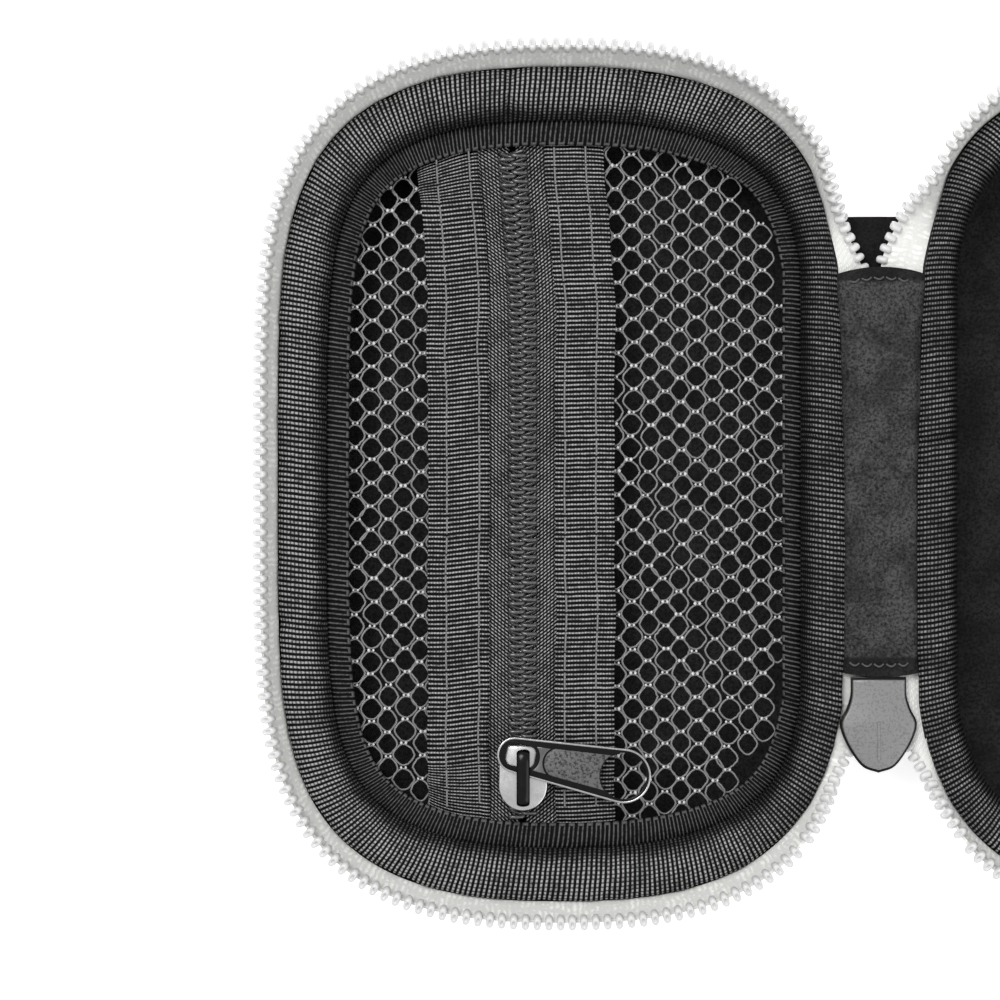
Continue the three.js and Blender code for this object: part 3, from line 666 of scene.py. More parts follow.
def binding(name, top, under, rib, beads, relief, material, creases=()):
    """A ribbon round the half. Its section goes over the top in threads and back under.

    Creases are given for the rim's ribbon, which is also fuller than the pocket's and pulled by the hinge.
    """
    per_rib = 4
    upper = spline(top, 3 * beads + 1)
    lower = spaced(under, 6)[1:-1]
    section = np.vstack([upper, lower])
    normal = section_normals(section)
    distance = np.concatenate([[0], np.cumsum(np.linalg.norm(np.diff(section, axis=0), axis=1))])
    ribs = round(RIM_LENGTH / rib)
    arc = (np.arange(ribs * per_rib) + 0.5) * rib / per_rib
    shown = np.zeros(len(section))
    shown[: len(upper)] = np.sin(np.linspace(0, math.pi, len(upper))) ** 0.35
    rise = relief * (0.5 - 0.5 * np.cos(TURN * arc / rib))[:, None]
    bead = 0.8 + 0.2 * np.cos(TURN * distance / BEAD)[None, :]
    fold = sum(-deep * np.exp(-((arc_from(arc, at) / wide) ** 2)) for at, wide, deep in creases)
    swell = RIM_FULLNESS * wobble(arc, 1, 60, 5) if creases else 0
    move = shown * (rise * bead + np.reshape(fold + swell, (-1, 1)))
    inset = section[:, 0] + normal[:, 0] * move
    height = RIM_Z + section[:, 1] + normal[:, 1] * move
    inward = section[:, 0] - section[0, 0]
    if creases:
        outline, facing = outline_at(arc)
        pull = hinge_pull(outline[:, 1]) * np.clip(facing[:, 0], 0, 1) ** 2
        inset = inset + pull[:, None] * np.clip(1 - inward / 5, 0, 1)
    grid = rim_points(arc[:, None] + RIM_SHEAR * inward, inset, height)
    uv = np.stack(np.broadcast_arrays(arc[:, None], distance[None, :]), axis=2)
    return add_ring(name, grid, material, uv, RIM_LENGTH)


def add_bindings():
    left = binding("pocket_rim_ribbon", RIM_TOP, RIM_UNDER, RIM_RIB, 15, 0.16, BINDING, CREASES)
    right = mirrored(left, "lid_rim_ribbon")
    settle(left, "pocket_half", ["pocket_rim_binding"])
    settle(right, "lid_half", ["lid_rim_binding"])
    inner = binding("pocket_edge_ribbon", EDGE_TOP, EDGE_UNDER, EDGE_RIB, 6, 0.2, EDGE_BINDING)
    settle(inner, "pocket_half", ["pocket_edge_binding"])


# ---- Pocket: net, trims and coil zip -------------------------------------------------------------------

NET_ROW = 3.72
NET_COLUMN = 2.56
STRAND_RADIUS = 0.17
NET_POINTS = 22
NET_SIDES = 6
NET_SAG = 0.7

# How far inside the outline the pocket's cloths end, under the edge binding.
NET_INSET = 9.8
TRIM_INSET = 10.8
TWILL_INSET = 11.2
TRIM_DIP = 0.95
STITCH_RADIUS = 0.16


def hole_outline():
    """A rounded hexagon round one hole of the net, half a strand inside the lines between neighbours."""
    slant = math.atan2(NET_ROW / 2, NET_COLUMN)
    slant_distance = math.hypot(NET_COLUMN, NET_ROW / 2) / 2
    sides = [(math.pi / 2, NET_ROW / 2), (-math.pi / 2, NET_ROW / 2)]
    sides += [(turn, slant_distance) for turn in (slant, -slant, math.pi - slant, math.pi + slant)]
    angle = TURN * np.arange(NET_POINTS) / NET_POINTS
    sharpness = 6
    total = sum(
        (np.maximum(np.cos(angle - facing), 0) / (distance - STRAND_RADIUS * 0.62)) ** sharpness
        for facing, distance in sides
    )
    radius = total ** (-1 / sharpness)
    return np.stack([radius * np.cos(angle), radius * np.sin(angle)], axis=1)


def ball(radius, rings=4, sides=6):
    """A small ball of a few faces."""
    turns = np.linspace(0, math.pi, rings + 2)[1:-1]
    around = TURN * np.arange(sides) / sides
    points = [(0, 0, radius)]
    for turn in turns:
        out = radius * math.sin(turn)
        points += [(out * math.cos(a), out * math.sin(a), radius * math.cos(turn)) for a in around]
    points.append((0, 0, -radius))
    last = len(points) - 1
    ring = np.arange(sides)
    following = (ring + 1) % sides
    top = np.stack([np.zeros(sides, int), 1 + ring, 1 + following], axis=1)
    bottom = np.stack([np.full(sides, last), last - sides + following, last - sides + ring], axis=1)
    middle = grid_faces(rings, sides, False, True) + 1
    return np.array(points), [np.vstack([top, bottom]), middle]


KNOT, KNOT_FACES = ball(0.25)


def net(name, low_x, high_x, node, seed):
    """Warp-knit net between two places along X: one small closed loop of thread round each hole."""
    ring = hole_outline()
    random = np.random.default_rng(seed)
    parts, knots = [], []
    middle_x = (low_x + high_x) / 2
    columns = np.arange(math.floor(low_x / NET_COLUMN), math.ceil(high_x / NET_COLUMN) + 1)
    for column in columns:
        x = column * NET_COLUMN
        if not low_x - 0.4 < x < high_x + 0.4:
            continue
        wide = 1.06 if column % 2 else 0.94
        rows = int(HALF_LENGTH / NET_ROW) + 1
        for row in range(-rows, rows + 1):
            y = (row + (column % 2) / 2) * NET_ROW
            from_middle = x + HALF_CENTRE_X
            if abs(from_middle) > half_breadth(y, NET_INSET) or abs(y) > half_reach(from_middle, NET_INSET):
                continue
            drift = random.normal(0, 0.05, 2)
            drift[0] += 0.35 * wobble(np.array(y + 3 * x), seed + 5, 60, 20)
            drift[1] += 0.35 * wobble(np.array(x * 2 + y / 3), seed + 9, 50, 18)
            around = ring * (wide, 1) + (x, y) + drift + random.normal(0, 0.035, (NET_POINTS, 2))
            edge = (around[:, 0] - middle_x) / ((high_x - low_x) / 2)
            sag = NET_SAG * np.clip(1 - edge**2, 0, 1) * np.clip(1 - (around[:, 1] / HALF_LENGTH) ** 4, 0, 1)
            lift = 0.10 * np.cos(2 * TURN * np.arange(NET_POINTS) / NET_POINTS)
            path = np.column_stack([around, CLOTH_Z - sag + lift])
            parts.append(tube(path, STRAND_RADIUS, NET_SIDES, closed=True))
            knot_y = y + NET_ROW / 2 + drift[1]
            knot_z = CLOTH_Z + 0.16 - sag.mean()
            knots += [(x + drift[0] + side, knot_y, knot_z) for side in (-0.36, 0.36)]
    points, faces = merged(parts)
    made = add_mesh(name, points, faces, STRAND)
    settle(made, "pocket_half", [node])
    knots = np.array(knots)
    squash = np.diag([1.0, 1.25, 0.8]) * random.uniform(0.75, 1.15, (len(knots), 1, 1))
    dots = add_mesh(name + "_knots", *scattered(KNOT, KNOT_FACES, knots, squash), KNOT_HIGHLIGHT)
    settle(dots, "pocket_half")


TRIM_END_Y = 44.0


def panel_drift(place_y):
    """How far the pocket's trims and zip lean towards the free side near the top end."""
    return -1.9 * smooth((place_y - 24) / 36)


def cloth_ends(rows_y, across_x, inset):
    """Rows of a strip across the pocket, with its ends drawn to follow the outline under the edge binding."""
    end = half_reach(across_x + HALF_CENTRE_X, inset)
    over = np.maximum(np.abs(rows_y) - TRIM_END_Y, 0)
    most = np.abs(rows_y).max() - TRIM_END_Y
    return np.sign(rows_y) * (np.minimum(np.abs(rows_y), TRIM_END_Y) + over / most * (end - TRIM_END_Y))


def dip(rows_y, across_x, inset, amount):
    """How far a strip goes down at its ends, to pass under the edge binding."""
    end = half_reach(across_x + HALF_CENTRE_X, inset)
    return amount * smooth((np.abs(rows_y) - end + 3.2) / 2.2)


def trim(name, node, stitch_lines, tilt_between, seed):
    """Grosgrain trim with two rows of stitches, between which its ribs lie tilted."""
    low, high = node_box(node)
    per_rib = 4
    rows = round(2 * HALF_LENGTH * 0.86 / TRIM_RIB) * per_rib
    rows_y = ((np.arange(rows) + 0.5) - rows / 2) * TRIM_RIB / per_rib
    across = np.linspace(low[0], high[0], 46)
    y, x = np.meshgrid(rows_y, across, indexing="ij")
    edge = np.minimum(x - low[0], high[0] - x)
    left, right = stitch_lines
    tilt = tilt_between * (np.clip(x, left, right) - left)
    dent = sum(np.exp(-(((x - line) / 0.35) ** 2)) for line in stitch_lines)
    rib = 0.14 * (0.5 - 0.5 * np.cos(TURN * y / TRIM_RIB)) * np.clip(edge / 0.3, 0, 1)
    quilt = 0.12 * wobble(y + 2 * x, seed, 40, 6)
    place_y = cloth_ends(y, x, TRIM_INSET) + tilt
    down = dip(place_y, x, TRIM_INSET, TRIM_DIP)
    wave = 0.18 * wobble(y, seed + 1, 50, 12) + panel_drift(y)
    top_z = high[2] - 0.25 + rib + quilt - 0.2 * dent - 0.35 * np.exp(-edge / 0.35) - down
    top = np.stack([x + wave, place_y, top_z], axis=2)
    bottom_z = np.minimum(top_z - 0.3, low[2] + 0.1 - 0.5 * down / TRIM_DIP)
    bottom = np.stack([x + wave, place_y, bottom_z], axis=2)[:, ::9]
    strip = add_strip(name, top, bottom, TRIM, np.stack([y, x], axis=2))
    settle(strip, "pocket_half", [node])
    stitches = []
    stitch, gap = 2.6, 0.45
    for line in stitch_lines:
        for start in np.arange(-HALF_LENGTH + 15, HALF_LENGTH - 15, stitch + gap):
            run = np.linspace(start, start + stitch, 9)
            over = np.sin(np.linspace(0, math.pi, 9))
            path_x = line + 0.18 * wobble(run, seed + 1, 50, 12) + panel_drift(run)
            slope = tilt_between * (line - left)
            path = np.column_stack([path_x, run + slope, high[2] - 0.42 + 0.28 * over])
            stitches.append(tube(path, STITCH_RADIUS))
    made = add_mesh(name + "_stitching", *merged(stitches), THREAD)
    settle(made, "pocket_half")


TWILL_PITCH = 0.58
TWILL_BY_SLANT = {
    slant: ribbed_cloth(title, TWILL_PITCH, 0.55, 0.38, 0.9, slant, (0.35, 0.9))
    for title, slant in (("zip_twill_left", 0.8), ("zip_twill_right", -0.8))
}


def coil_tape(name, node, slant, seed):
    """Twill tape beside the coil: fine diagonal cords."""
    low, high = node_box(node)
    rows_y = np.arange(-HALF_LENGTH * 0.82, HALF_LENGTH * 0.82, TWILL_PITCH / 4)
    across = np.linspace(low[0], high[0], 34)
    y, x = np.meshgrid(rows_y, across, indexing="ij")
    cord = 0.12 * (0.5 - 0.5 * np.cos(TURN * (y + slant * x) / TWILL_PITCH))
    place_y = cloth_ends(y, x, TWILL_INSET)
    soft = 0.12 * wobble(y, seed, 30, 8)
    place_x = x + panel_drift(y)
    top = np.stack([place_x, place_y, high[2] + cord + soft], axis=2)
    bottom = np.stack([place_x, place_y, np.full_like(x, low[2])], axis=2)[:, ::8]
    strip = add_strip(name, top, bottom, TWILL_BY_SLANT[slant], np.stack([y, x], axis=2))
    settle(strip, "pocket_half", [node])


COIL_PITCH = 1.338
COIL_WIRE = 0.29


def coil(name, node, side, start):
    """One half of the coil: flattened turns of drawn nylon whose heads reach the parting line."""
    low, high = node_box(node)
    outer = 2.05
    head = -0.12
    level = (low[2] + high[2]) / 2
    rise = (high[2] - low[2]) / 2 - COIL_WIRE
    turns = int(2 * high[1] / COIL_PITCH)
    steps = 14
    t = np.arange(turns * steps) / steps
    phase = TURN * t
    reach = (outer + head) / 2 + (outer - head) / 2 * np.clip(1.25 * np.cos(phase), -1, 1)
    x = COIL_X + side * reach
    y = -high[1] + (start + t + 0.15 * np.cos(phase)) * COIL_PITCH + 0.16 * np.cos(phase) ** 2
    x = x + panel_drift(y)
    z = level + rise * np.clip(1.3 * np.sin(phase), -1, 1)
    path = np.column_stack([x, y, z])
    path = path[np.abs(y) < high[1]]
    made = add_mesh(name, *tube(path, COIL_WIRE, 7), COIL)
    settle(made, "pocket_half", [node])


def add_pocket():
    trim_left, trim_right = node_box("mesh_trim_narrow"), node_box("mesh_trim_wide")
    narrow, wide = node_box("mesh_panel_narrow"), node_box("mesh_panel_wide")
    net("net_narrow", narrow[0][0], trim_left[0][0] + 1.5, "mesh_panel_narrow", 11)
    net("net_wide", trim_right[1][0] - 3.0, wide[1][0], "mesh_panel_wide", 12)
    left_lines = [trim_left[0][0] + 2.9, trim_left[0][0] + 8.0]
    right_lines = [trim_right[0][0] + 1.5, trim_right[0][0] + 6.4]
    trim("trim_narrow", "mesh_trim_narrow", left_lines, 0.12, 21)
    trim("trim_wide", "mesh_trim_wide", right_lines, 0.03, 22)
    coil_tape("coil_twill_narrow", "coil_tape_narrow_side", 0.8, 31)
    coil_tape("coil_twill_wide", "coil_tape_wide_side", -0.8, 32)
    coil("coil_turns_narrow", "coil_narrow_side", -1, 0.0)
    coil("coil_turns_wide", "coil_wide_side", 1, 0.5)


# ---- Main zip: standing run ----------------------------------------------------------------------------


def lean_out(height):
    return TAPE_ROOT_OUT + TAPE_LEAN * (height - TAPE_ROOT_Z) / (TEETH_TOP_Z - TAPE_ROOT_Z)


def standing_arcs(step):
    """Distances round the outline of the part where the zip stands, from its top end to its bottom end."""
    place, _ = outline_at(OUTLINE_ARC[:-1])
    stands = (place[:, 0] < 0) | (place[:, 1] > ZIP_TOP_Y) | (place[:, 1] < ZIP_BOTTOM_Y)
    arc = OUTLINE_ARC[:-1][stands]
    count = int((arc[-1] - arc[0]) / step)
    return arc[0], arc[-1], np.linspace(arc[0], arc[-1], count + 1)


TOOTH_RISE = 1.75
TOOTH_BEYOND_TAPE = 1.15
END_TOOTH_BEYOND_TAPE = 0.85


def tooth_template():
    """A two-lobed tooth, X along the zip, Y across it and Z up from its head, with a dimple in its head."""
    sides = 16
    angle = TURN * np.arange(sides) / sides
    waist = 0.70 + 0.09 * np.cos(2 * angle + math.pi)
    ring = np.column_stack([waist * np.cos(angle), 1.12 * np.sin(angle)])
    foot = [(0.8, -TOOTH_RISE), (1, -TOOTH_RISE + 0.25)]
    levels = [*foot, (1, -0.45), (0.86, -0.12), (0.62, 0), (0.4, -0.12), (0.2, -0.4)]
    points = [np.column_stack([ring * scale, np.full(sides, height)]) for scale, height in levels]
    caps = [np.arange(sides)[None], ((len(levels) - 1) * sides + np.arange(sides))[None, ::-1]]
    return np.vstack(points), [grid_faces(len(levels), sides, False, True), *caps]


TOOTH, TOOTH_FACES = tooth_template()
TAPE_TOP_Z = TEETH_TOP_Z - TOOTH_BEYOND_TAPE


def tape_solid(name, rows, material):
    """A tape from rows of (root to edge) points: its two faces are half its thickness either side."""
    along = np.gradient(rows, axis=0)
    across = np.gradient(rows, axis=1)
    normal = np.cross(along, across)
    normal /= np.linalg.norm(normal, axis=2, keepdims=True)
    half = TAPE_THICKNESS / 2
    length = np.cumsum(np.linalg.norm(along, axis=2).mean(axis=1))
    width = np.cumsum(np.linalg.norm(across, axis=2).mean(axis=0))
    uv = np.stack(np.meshgrid(length, width, indexing="ij"), axis=2)
    return add_strip(name, rows + normal * half, (rows - normal * half)[:, ::4], material, uv)


def add_standing_zip():
    first, last, arc = standing_arcs(0.8)
    height = np.linspace(TAPE_ROOT_Z, TAPE_TOP_Z, 9)
    rows = rim_points(arc[:, None], -lean_out(height)[None, :], height[None, :])
    tape = tape_solid("pocket_white_tape", rows, WHITE_TAPE)
    lid_tape = mirrored(tape, "lid_white_tape")
    settle(tape, "pocket_half", ["pocket_zip_tape"])
    settle(lid_tape, "lid_half", ["lid_zip_tape"])
    for half, offset, sign in (("pocket", 0.25, 1), ("lid", 0.75, -1)):
        count = int((last - first) / TOOTH_PITCH)
        place = first + (np.arange(count) + offset) * TOOTH_PITCH
        low_z = TEETH_TOP_Z - TOOTH_RISE
        top = rim_points(place, -lean_out(TEETH_TOP_Z), TEETH_TOP_Z)
        foot = rim_points(place, -lean_out(low_z), low_z)
        ahead = rim_points(place + 0.5, -lean_out(TEETH_TOP_Z), TEETH_TOP_Z)
        up = top - foot
        up /= np.linalg.norm(up, axis=1, keepdims=True)
        along = ahead - top
        along -= up * np.einsum("ij,ij->i", along, up)[:, None]
        along /= np.linalg.norm(along, axis=1, keepdims=True)
        axes = np.stack([along, np.cross(up, along), up], axis=1)
        points, faces = scattered(TOOTH, TOOTH_FACES, top, axes)
        points = points * (sign, 1, 1)
        teeth = add_mesh(f"{half}_white_teeth", points, faces, WHITE_TEETH)
        settle(teeth, f"{half}_half", [f"{half}_zip_teeth"])


# ---- Main zip: end runs over the spine -----------------------------------------------------------------

JOINED_Z = RIM_Z - 1.5

# The tape's edge in each end run, as it lies down over the spine and meets its fellow.
TOP_RUN = [(-8.2, 45.9), (-5.9, 40.3), (-3.3, 34.8), (-1.7, 31.6), (-1.3, 28.5)]
LID_TOP_RUN = [(-7.0, 46.4), (-4.6, 43.6), (-2.6, 40.6), (-0.6, 35.6), (-0.3, 31.6), (-1.0, 28.5)]
BOTTOM_RUN = [(-9.0, -49.6), (-5.5, -42.6), (-2.3, -37.4), (-1.4, -33.0), (-1.3, -26.5)]


def end_rows(start_y, run, root_y, lying_by, root_drop):
    """Rows of points across the tape's last stretch: it leaves the rim standing and twists down flat."""
    count = 44
    share = np.linspace(0, 1, count)
    corner = arc_towards(math.degrees(math.atan2(start_y, half_breadth(start_y, 0))))
    finish = arc_towards(math.degrees(math.atan2(root_y, half_breadth(root_y, 0))))
    arc = corner + (finish - corner) * share
    drawn_in = np.maximum(hinge_pull(outline_at(arc)[0][:, 1]), 0) * smooth(share * 4)
    root = rim_points(arc, -TAPE_ROOT_OUT + drawn_in, TAPE_ROOT_Z)
    root[:, 2] -= root_drop * smooth(share)
    first = rim_points(corner, -lean_out(TAPE_TOP_Z), TAPE_TOP_Z)
    edge = np.column_stack([spline([first[:2], *run], count), np.zeros(count)])
    edge[:, 2] = first[2] + (JOINED_Z - first[2]) * smooth(share * lying_by)
    across = np.linspace(0, 1, 9)[None, :, None]
    rows = root[:, None] * (1 - across) + edge[:, None] * across
    rows[:, :, 2] += 0.5 * np.sin(math.pi * across[..., 0]) * smooth(share)[:, None]
    return rows


def end_teeth(rows, offset):
    """Teeth along the free edge of rows of points across a tape."""
    edge = rows[:, -1]
    teeth = int(np.linalg.norm(np.diff(edge, axis=0), axis=1).sum() / TOOTH_PITCH)
    place = spaced(edge, 2 * teeth + 1)[offset : 2 * teeth : 2]
    inner = spaced(rows[:, -2], 2 * teeth + 1)[offset : 2 * teeth : 2]
    along = np.gradient(place, axis=0)
    along /= np.linalg.norm(along, axis=1, keepdims=True)
    out = place - inner
    out -= along * np.einsum("ij,ij->i", out, along)[:, None]
    out /= np.linalg.norm(out, axis=1, keepdims=True)
    axes = np.stack([along, np.cross(out, along), out], axis=1)
    return scattered(TOOTH, TOOTH_FACES, place + out * END_TOOTH_BEYOND_TAPE, axes)


def add_end_runs():
    for end, start_y, runs, root_y, lying_by, root_drop in (
        ("top", ZIP_TOP_Y, (TOP_RUN, LID_TOP_RUN), 28.0, 1.25, 0.1),
        ("bottom", ZIP_BOTTOM_Y, (BOTTOM_RUN, BOTTOM_RUN), -25.5, 2.0, 0.9),
    ):
        halves = (("pocket", 1, runs[0], POCKET_TO_SPINE), ("lid", -1, runs[1], SPINE_TO_LID))
        for half, sign, run, bodies in halves:
            rows = end_rows(start_y, run, root_y, lying_by, root_drop)
            points, faces = end_teeth(rows, 0 if half == "pocket" else 1)
            tape = tape_solid(f"end_tape_{half}_{end}", rows * (sign, 1, 1), WHITE_TAPE)
            settle(tape, bodies, [f"zip_end_{half}_{end}"])
            teeth = add_mesh(f"end_teeth_{half}_{end}", points * (sign, 1, 1), faces, WHITE_TEETH)
            settle(teeth, bodies)


# ---- Hinge strips --------------------------------------------------------------------------------------

# How much wider a strip gets at its top end, and how thick it is between its hems.
END_SPREAD = 0.2
STRIP_THICKNESS = 0.45
INNER_HALF_WIDTH = 6.2
OUTER_HALF_WIDTH = 5.8


def hinge_strip(name, node, material, half_width, ends, level, bow, sag, tuck):
    """A strip across the spine in two halves. Its ends are hems, and its sides are tucked under the rims."""
    top_y, bottom_y = ends
    rows = 150
    share = np.linspace(0, 1, rows)
    across = np.append(np.linspace(-half_width, -0.04, 30), 0)
    t, x = np.meshgrid(share, across, indexing="ij")
    y = top_y + (bottom_y - top_y) * t
    arch = bow * (1 - (x / half_width) ** 2)
    y = y + arch * (1 - t) - 0.5 * arch * t
    hem = np.exp(-((np.minimum(t, 1 - t) * (top_y - bottom_y) / 1.6) ** 4)) * 0.28
    ripple = 0.2 * wobble(y + 1.5 * x, 41, 26, 3.5) * np.clip(np.minimum(t, 1 - t) / 0.05, 0.2, 1)
    tucked = tuck * np.exp(-(((half_width + x) / 0.8) ** 2))
    z = level - sag * (1 - (x / half_width) ** 2) + hem + ripple - tucked
    top = np.stack([x, y, z], axis=2)
    bottom = np.stack([x, y, z - STRIP_THICKNESS - hem], axis=2)
    broad = (1 + END_SPREAD * smooth((y - top_y + 9) / 7))[..., None] * (1, 0, 0) + (0, 1, 1)
    uv = np.stack([x, y], axis=2)
    made = add_strip(name + "_left", top * broad, (bottom * broad)[:, ::6], material, uv)
    other = mirrored(made, name + "_right")
    settle(made, POCKET_TO_SPINE, [node])
    settle(other, SPINE_TO_LID)


def add_hinge():
    level = RIM_Z + 1.0
    ends = (STRIP_HIGH[1] - 0.8, STRIP_LOW[1] - 0.5)
    hinge_strip("spine_knit", "hinge_inner_strip", STRIP, INNER_HALF_WIDTH, ends, level, 1.3, 0.25, 1.1)
    low, high = node_box("hinge_outer_strip")
    ends = (high[1], low[1])
    node = "hinge_outer_strip"
    hinge_strip("spine_backing", node, OUTER_STRIP, OUTER_HALF_WIDTH, ends, high[2] - 0.35, 0.1, 0.1, 0)
    stitches = []
    for y, bow in ((STRIP_HIGH[1] - 2.1, 1.0), (STRIP_LOW[1] + 1.2, -0.4)):
        for x in (-4.9, -3.0, -1.1, 0.8, 2.7):
            run = np.linspace(x, x + 1.4, 8)
            lift = np.sin(np.linspace(0, math.pi, 8))
            path_y = y + bow * (1 - (run / INNER_HALF_WIDTH) ** 2) - 0.35 * lift
            path = np.column_stack([run, path_y, level - 0.1 + 0.4 * lift])
            stitches.append(tube(path, STITCH_RADIUS))
    made = add_mesh("spine_stitching", *merged(stitches), SPINE_THREAD)
    settle(made, "spine")


# ---- Sliders and pulls ---------------------------------------------------------------------------------


def arc_points(centre, radius, start, end, count):
    angle = np.radians(np.linspace(start, end, count))
    return np.column_stack([centre[0] + radius * np.cos(angle), centre[1] + radius * np.sin(angle)])


def rounded_box(centre, width, length, corner, count=6):
    points = []
    for sign_x, sign_y, start in ((1, 1, 0), (-1, 1, 90), (-1, -1, 180), (1, -1, 270)):
        middle = (centre[0] + sign_x * (width / 2 - corner), centre[1] + sign_y * (length / 2 - corner))
        points.append(arc_points(middle, corner, start, start + 90, count))
    return np.vstack(points)


def tapered(neck_radius, end_radius, reach, inset=0.0):
    """A tab's outline from its narrow end at 0 to its wide end at reach, along +X."""
    lean = math.degrees(math.asin((end_radius - neck_radius) / reach))
    wide = arc_points((reach, 0), end_radius - inset, -90 - lean, 90 + lean, 28)
    narrow = arc_points((0, 0), neck_radius - inset, 90 + lean, 270 - lean, 18)
    return np.vstack([wide, narrow])


TAB_NECK, TAB_END, TAB_REACH, TAB_HOLE = 2.77, 4.26, 17.3, 3.62
EYE_CENTRE = (0.95, 0.0)
NOSE_X = 7.05


def tab_parts():
    """A pull tab lying flat, its narrow end at 0 and its wide end along +X: base, edge, panel and land."""
    eye = rounded_box(EYE_CENTRE, 4.6, 3.4, 1.0)
    hole = arc_points((TAB_REACH, 0), TAB_HOLE, 360, 0, 49)[:-1]
    outer = tapered(TAB_NECK, TAB_END, TAB_REACH)
    base = plate([outer, eye, hole], 0, 0.55, 0.1)
    edge = plate([outer, tapered(TAB_NECK, TAB_END, TAB_REACH, 0.34)], 0.3, 1.0, 0.12)
    dish = arc_points((TAB_REACH, 0), TAB_HOLE + 0.15, 132, 228, 20)
    nose = arc_points((NOSE_X, 0), 2.35, 245, 115, 16)
    panel = plate([np.vstack([dish, nose])], 0.4, 0.75, 0.1)
    land_end = arc_points((NOSE_X, 0), 2.6, 130, 230, 12)
    land_eye = arc_points((1.4, 0), 2.55, -48, 48, 12)
    land = plate([np.vstack([land_end, land_eye])], 0.3, 0.9, 0.12)
    return base, edge, panel, land


def placed(shape, turn, place):
    """A shape turned about Z and moved."""
    points, faces = shape
    c, s = math.cos(math.radians(turn)), math.sin(math.radians(turn))
    return points @ np.array([[c, s, 0], [-s, c, 0], [0, 0, 1]]) + place, faces


def add_tab(name, body, node, place, turn):
    looks = (("", DARK_METAL), ("_edge", RIM_METAL), ("_panel", PANEL_METAL), ("_land", LAND_METAL))
    for (title, material), shape in zip(looks, tab_parts()):
        made = add_mesh(name + title, *placed(shape, turn, place), material)
        settle(made, body, [] if title else [node])


def add_pocket_pull():
    low, high = node_box("pocket_slider_body")
    middle_y = (low[1] + high[1]) / 2
    belly = arc_points((0, 0), 1.0, 180, 360, 28) * (3.8, 4.0) + (0, -1.25)
    shoulders = [arc_points((2.0, 4.0), 1.0, 20, 90, 5), arc_points((-2.0, 4.0), 1.0, 90, 160, 5)]
    outline_top = np.vstack([belly, [[3.7, 2.4]], *shoulders, [[-3.7, 2.4]]])
    top = plate([outline_top], high[2] - 0.95, high[2] - 0.05, 0.22)
    under = plate([outline_top], low[2] + 0.05, low[2] + 0.85, 0.2)
    post = plate([rounded_box((0, 3.6), 0.16, 1.2, 0.06)], low[2] + 0.6, high[2] - 0.5, 0.02)
    body = [(points + (COIL_X, middle_y, 0), faces) for points, faces in (top, under, post)]
    made = add_mesh("pocket_slider_plates", *merged(body), PALE_METAL)
    settle(made, "pocket_slider", ["pocket_slider_body"])
    bail_low, bail_high = node_box("pocket_slider_bail")
    crown = bail_high[2] - 0.42
    foot = bail_low[2] + 0.1
    line = [
        (COIL_X, bail_low[1] + 0.5, foot),
        (COIL_X, bail_low[1] + 0.5, crown - 0.6),
        (COIL_X, bail_low[1] + 1.3, crown),
        (COIL_X, (bail_low[1] + bail_high[1]) / 2, crown + 0.05),
        (COIL_X, bail_high[1] - 1.3, crown),
        (COIL_X, bail_high[1] - 0.5, crown - 0.6),
        (COIL_X, bail_high[1] - 0.5, foot),
    ]
    bail = add_mesh("pocket_slider_bridge", *tube(spline(line, 60), 1.05, 14, flat=0.40), DARK_METAL)
    settle(bail, "pocket_slider", ["pocket_slider_bail"])
    tab_low, tab_high = node_box("pocket_pull_tab")
    place = np.array([tab_low[0] + TAB_NECK - 0.6, tab_high[1] - TAB_NECK - 0.4, tab_low[2]])
    add_tab("pocket_tab", "pocket_pull", "pocket_pull_tab", place, -11)


def shield_outline():
    """The main slider's outline about its middle: a straight neck at +Y, shoulders and a rounded nose."""
    neck = [(4.3, 7.4), (4.35, 4.6), (5.0, 2.4)]
    nose = [(5.95, 0.4), (5.6, -1.6), (4.3, -4.2), (2.4, -6.6), (0.0, -7.5)]
    side = spline([*neck, *nose], 40)
    return np.vstack([side, (side * (-1, 1))[-2::-1]])


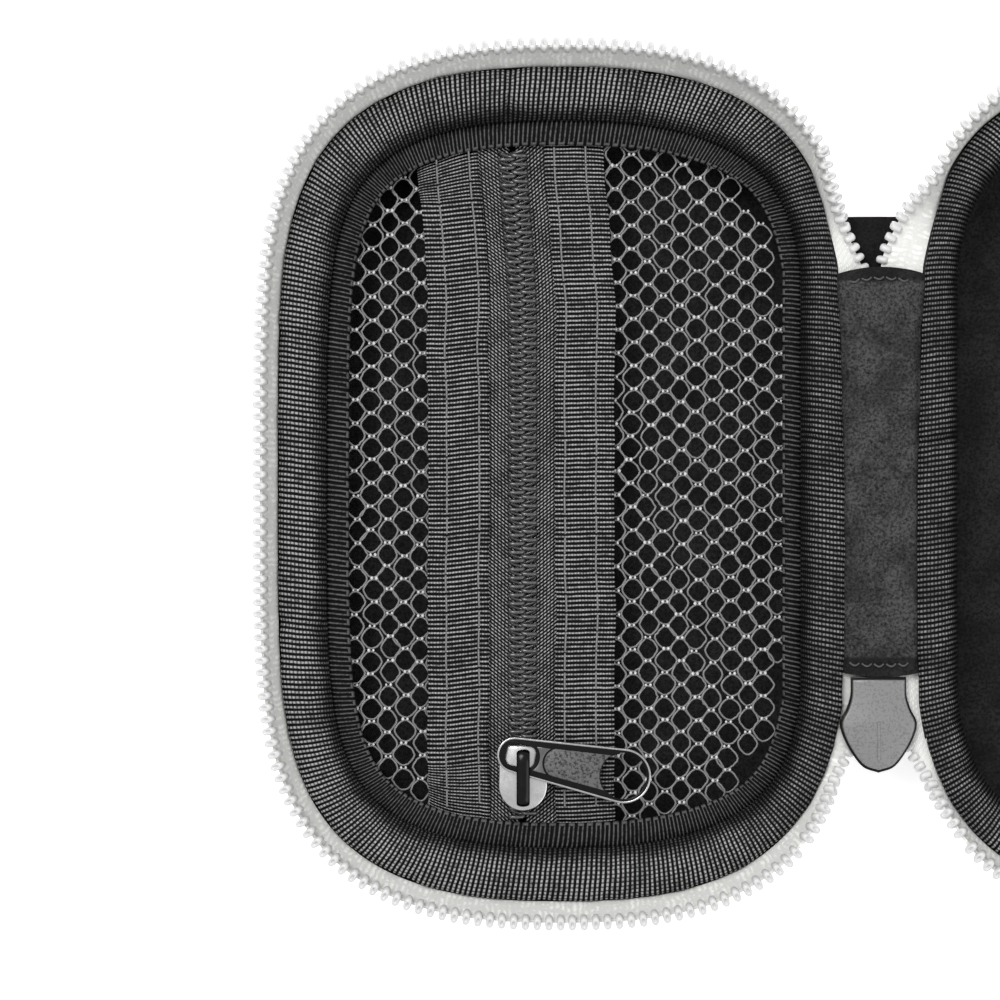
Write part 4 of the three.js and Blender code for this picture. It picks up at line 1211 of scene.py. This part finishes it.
def add_main_pull():
    low, high = node_box("main_slider_body")
    middle = np.array([-0.45, (low[1] + high[1]) / 2 - 0.45, 0])
    shield = shield_outline()
    face = plate([shield * 0.94], high[2] - 1.0, high[2] - 0.1, 0.25)
    # A slightly larger dark plate under the shield's face shows round it as a painted shadow line.
    shadow_plate = plate([shield], high[2] - 1.3, high[2] - 0.55, 0.15)
    back = plate([shield * (0.9, 0.92)], low[2] + 0.05, low[2] + 1.0, 0.25)
    post = plate([rounded_box((0, -3.6), 1.0, 3.4, 0.45)], low[2] + 0.8, high[2] - 0.8, 0.1)
    rib = plate([rounded_box((0, -2.6), 0.45, 6.0, 0.2)], high[2] - 0.4, high[2] + 0.02, 0.1)
    body = [(points + middle, faces) for points, faces in (face, back, post, rib)]
    made = add_mesh("main_slider_shield", *merged(body), GREY_METAL)
    settle(made, "main_slider", ["main_slider_body"])
    shade = add_mesh("main_slider_shadow_plate", shadow_plate[0] + middle, shadow_plate[1], DARK_METAL)
    settle(shade, "main_slider")
    bail_low, bail_high = node_box("main_slider_bail")
    crown = bail_low[2] + 0.45
    foot = bail_high[2] + 0.1
    line = [
        (0, bail_low[1] + 0.5, foot),
        (0, bail_low[1] + 0.5, crown + 0.7),
        (0, bail_low[1] + 1.4, crown),
        (0, bail_high[1] - 1.4, crown),
        (0, bail_high[1] - 0.5, crown + 0.7),
        (0, bail_high[1] - 0.5, foot),
    ]
    bail = add_mesh("main_slider_bridge", *tube(spline(line, 48), 0.9, 14, flat=0.48), DARK_METAL)
    settle(bail, "main_slider", ["main_slider_bail"])
    tab = frame["nodes"]["main_pull_tab"]
    tab.data.materials.clear()
    tab.data.materials.append(GREY_METAL)


# ---- The whole case ------------------------------------------------------------------------------------

add_trays()
add_bindings()
add_pocket()
add_standing_zip()
add_end_runs()
add_hinge()
add_pocket_pull()
add_main_pull()

# ---- Studio --------------------------------------------------------------------------------------------

CAMERA_OVER = (-0.0592, -0.0025)
CAMERA_HEIGHT = 0.45 + (RIM_Z + 1.5) * MM
FLOOR_SIZE = 4.0


def add_studio():
    bpy.ops.mesh.primitive_plane_add(size=FLOOR_SIZE, location=(0, 0, -0.0002))
    floor = bpy.context.object
    floor.name = "studio_floor"
    white = Look("studio_floor", Roughness=0.9)
    shade = white.maths("MULTIPLY_ADD", white.noise(300, 2.0), 0.02, 0.9)
    white.shader.inputs["Emission Color"].default_value = (1, 1, 1, 1)
    white.shader.inputs["Emission Strength"].default_value = 0.65
    white.set("Base Color", white.mix(shade, (0, 0, 0), (1, 1, 1)))
    floor.data.materials.append(white.material)

    world = bpy.data.worlds.new("studio")
    world.use_nodes = True
    world.node_tree.nodes["Background"].inputs["Color"].default_value = (1, 1, 1, 1)
    world.node_tree.nodes["Background"].inputs["Strength"].default_value = 0.7
    bpy.context.scene.world = world

    lights = (("key", (-0.35, 0.4, 0.9), 0.5, 7.0), ("fill", (0.7, -0.4, 0.8), 0.8, 3.0))
    for title, place, size, power in lights:
        light = bpy.data.objects.new(title, bpy.data.lights.new(title, "AREA"))
        light.data.size = size
        light.data.energy = power
        light.location = place
        light.rotation_mode = "QUATERNION"
        light.rotation_quaternion = (-light.location).to_track_quat("-Z", "Y")
        bpy.context.scene.collection.objects.link(light)

    camera = bpy.data.objects.new("camera", bpy.data.cameras.new("camera"))
    camera.data.lens = 104.5
    camera.data.sensor_width = 36
    camera.location = (*CAMERA_OVER, CAMERA_HEIGHT)
    bpy.context.scene.collection.objects.link(camera)
    bpy.context.scene.camera = camera
    bpy.context.scene.view_settings.view_transform = "Standard"


add_studio()
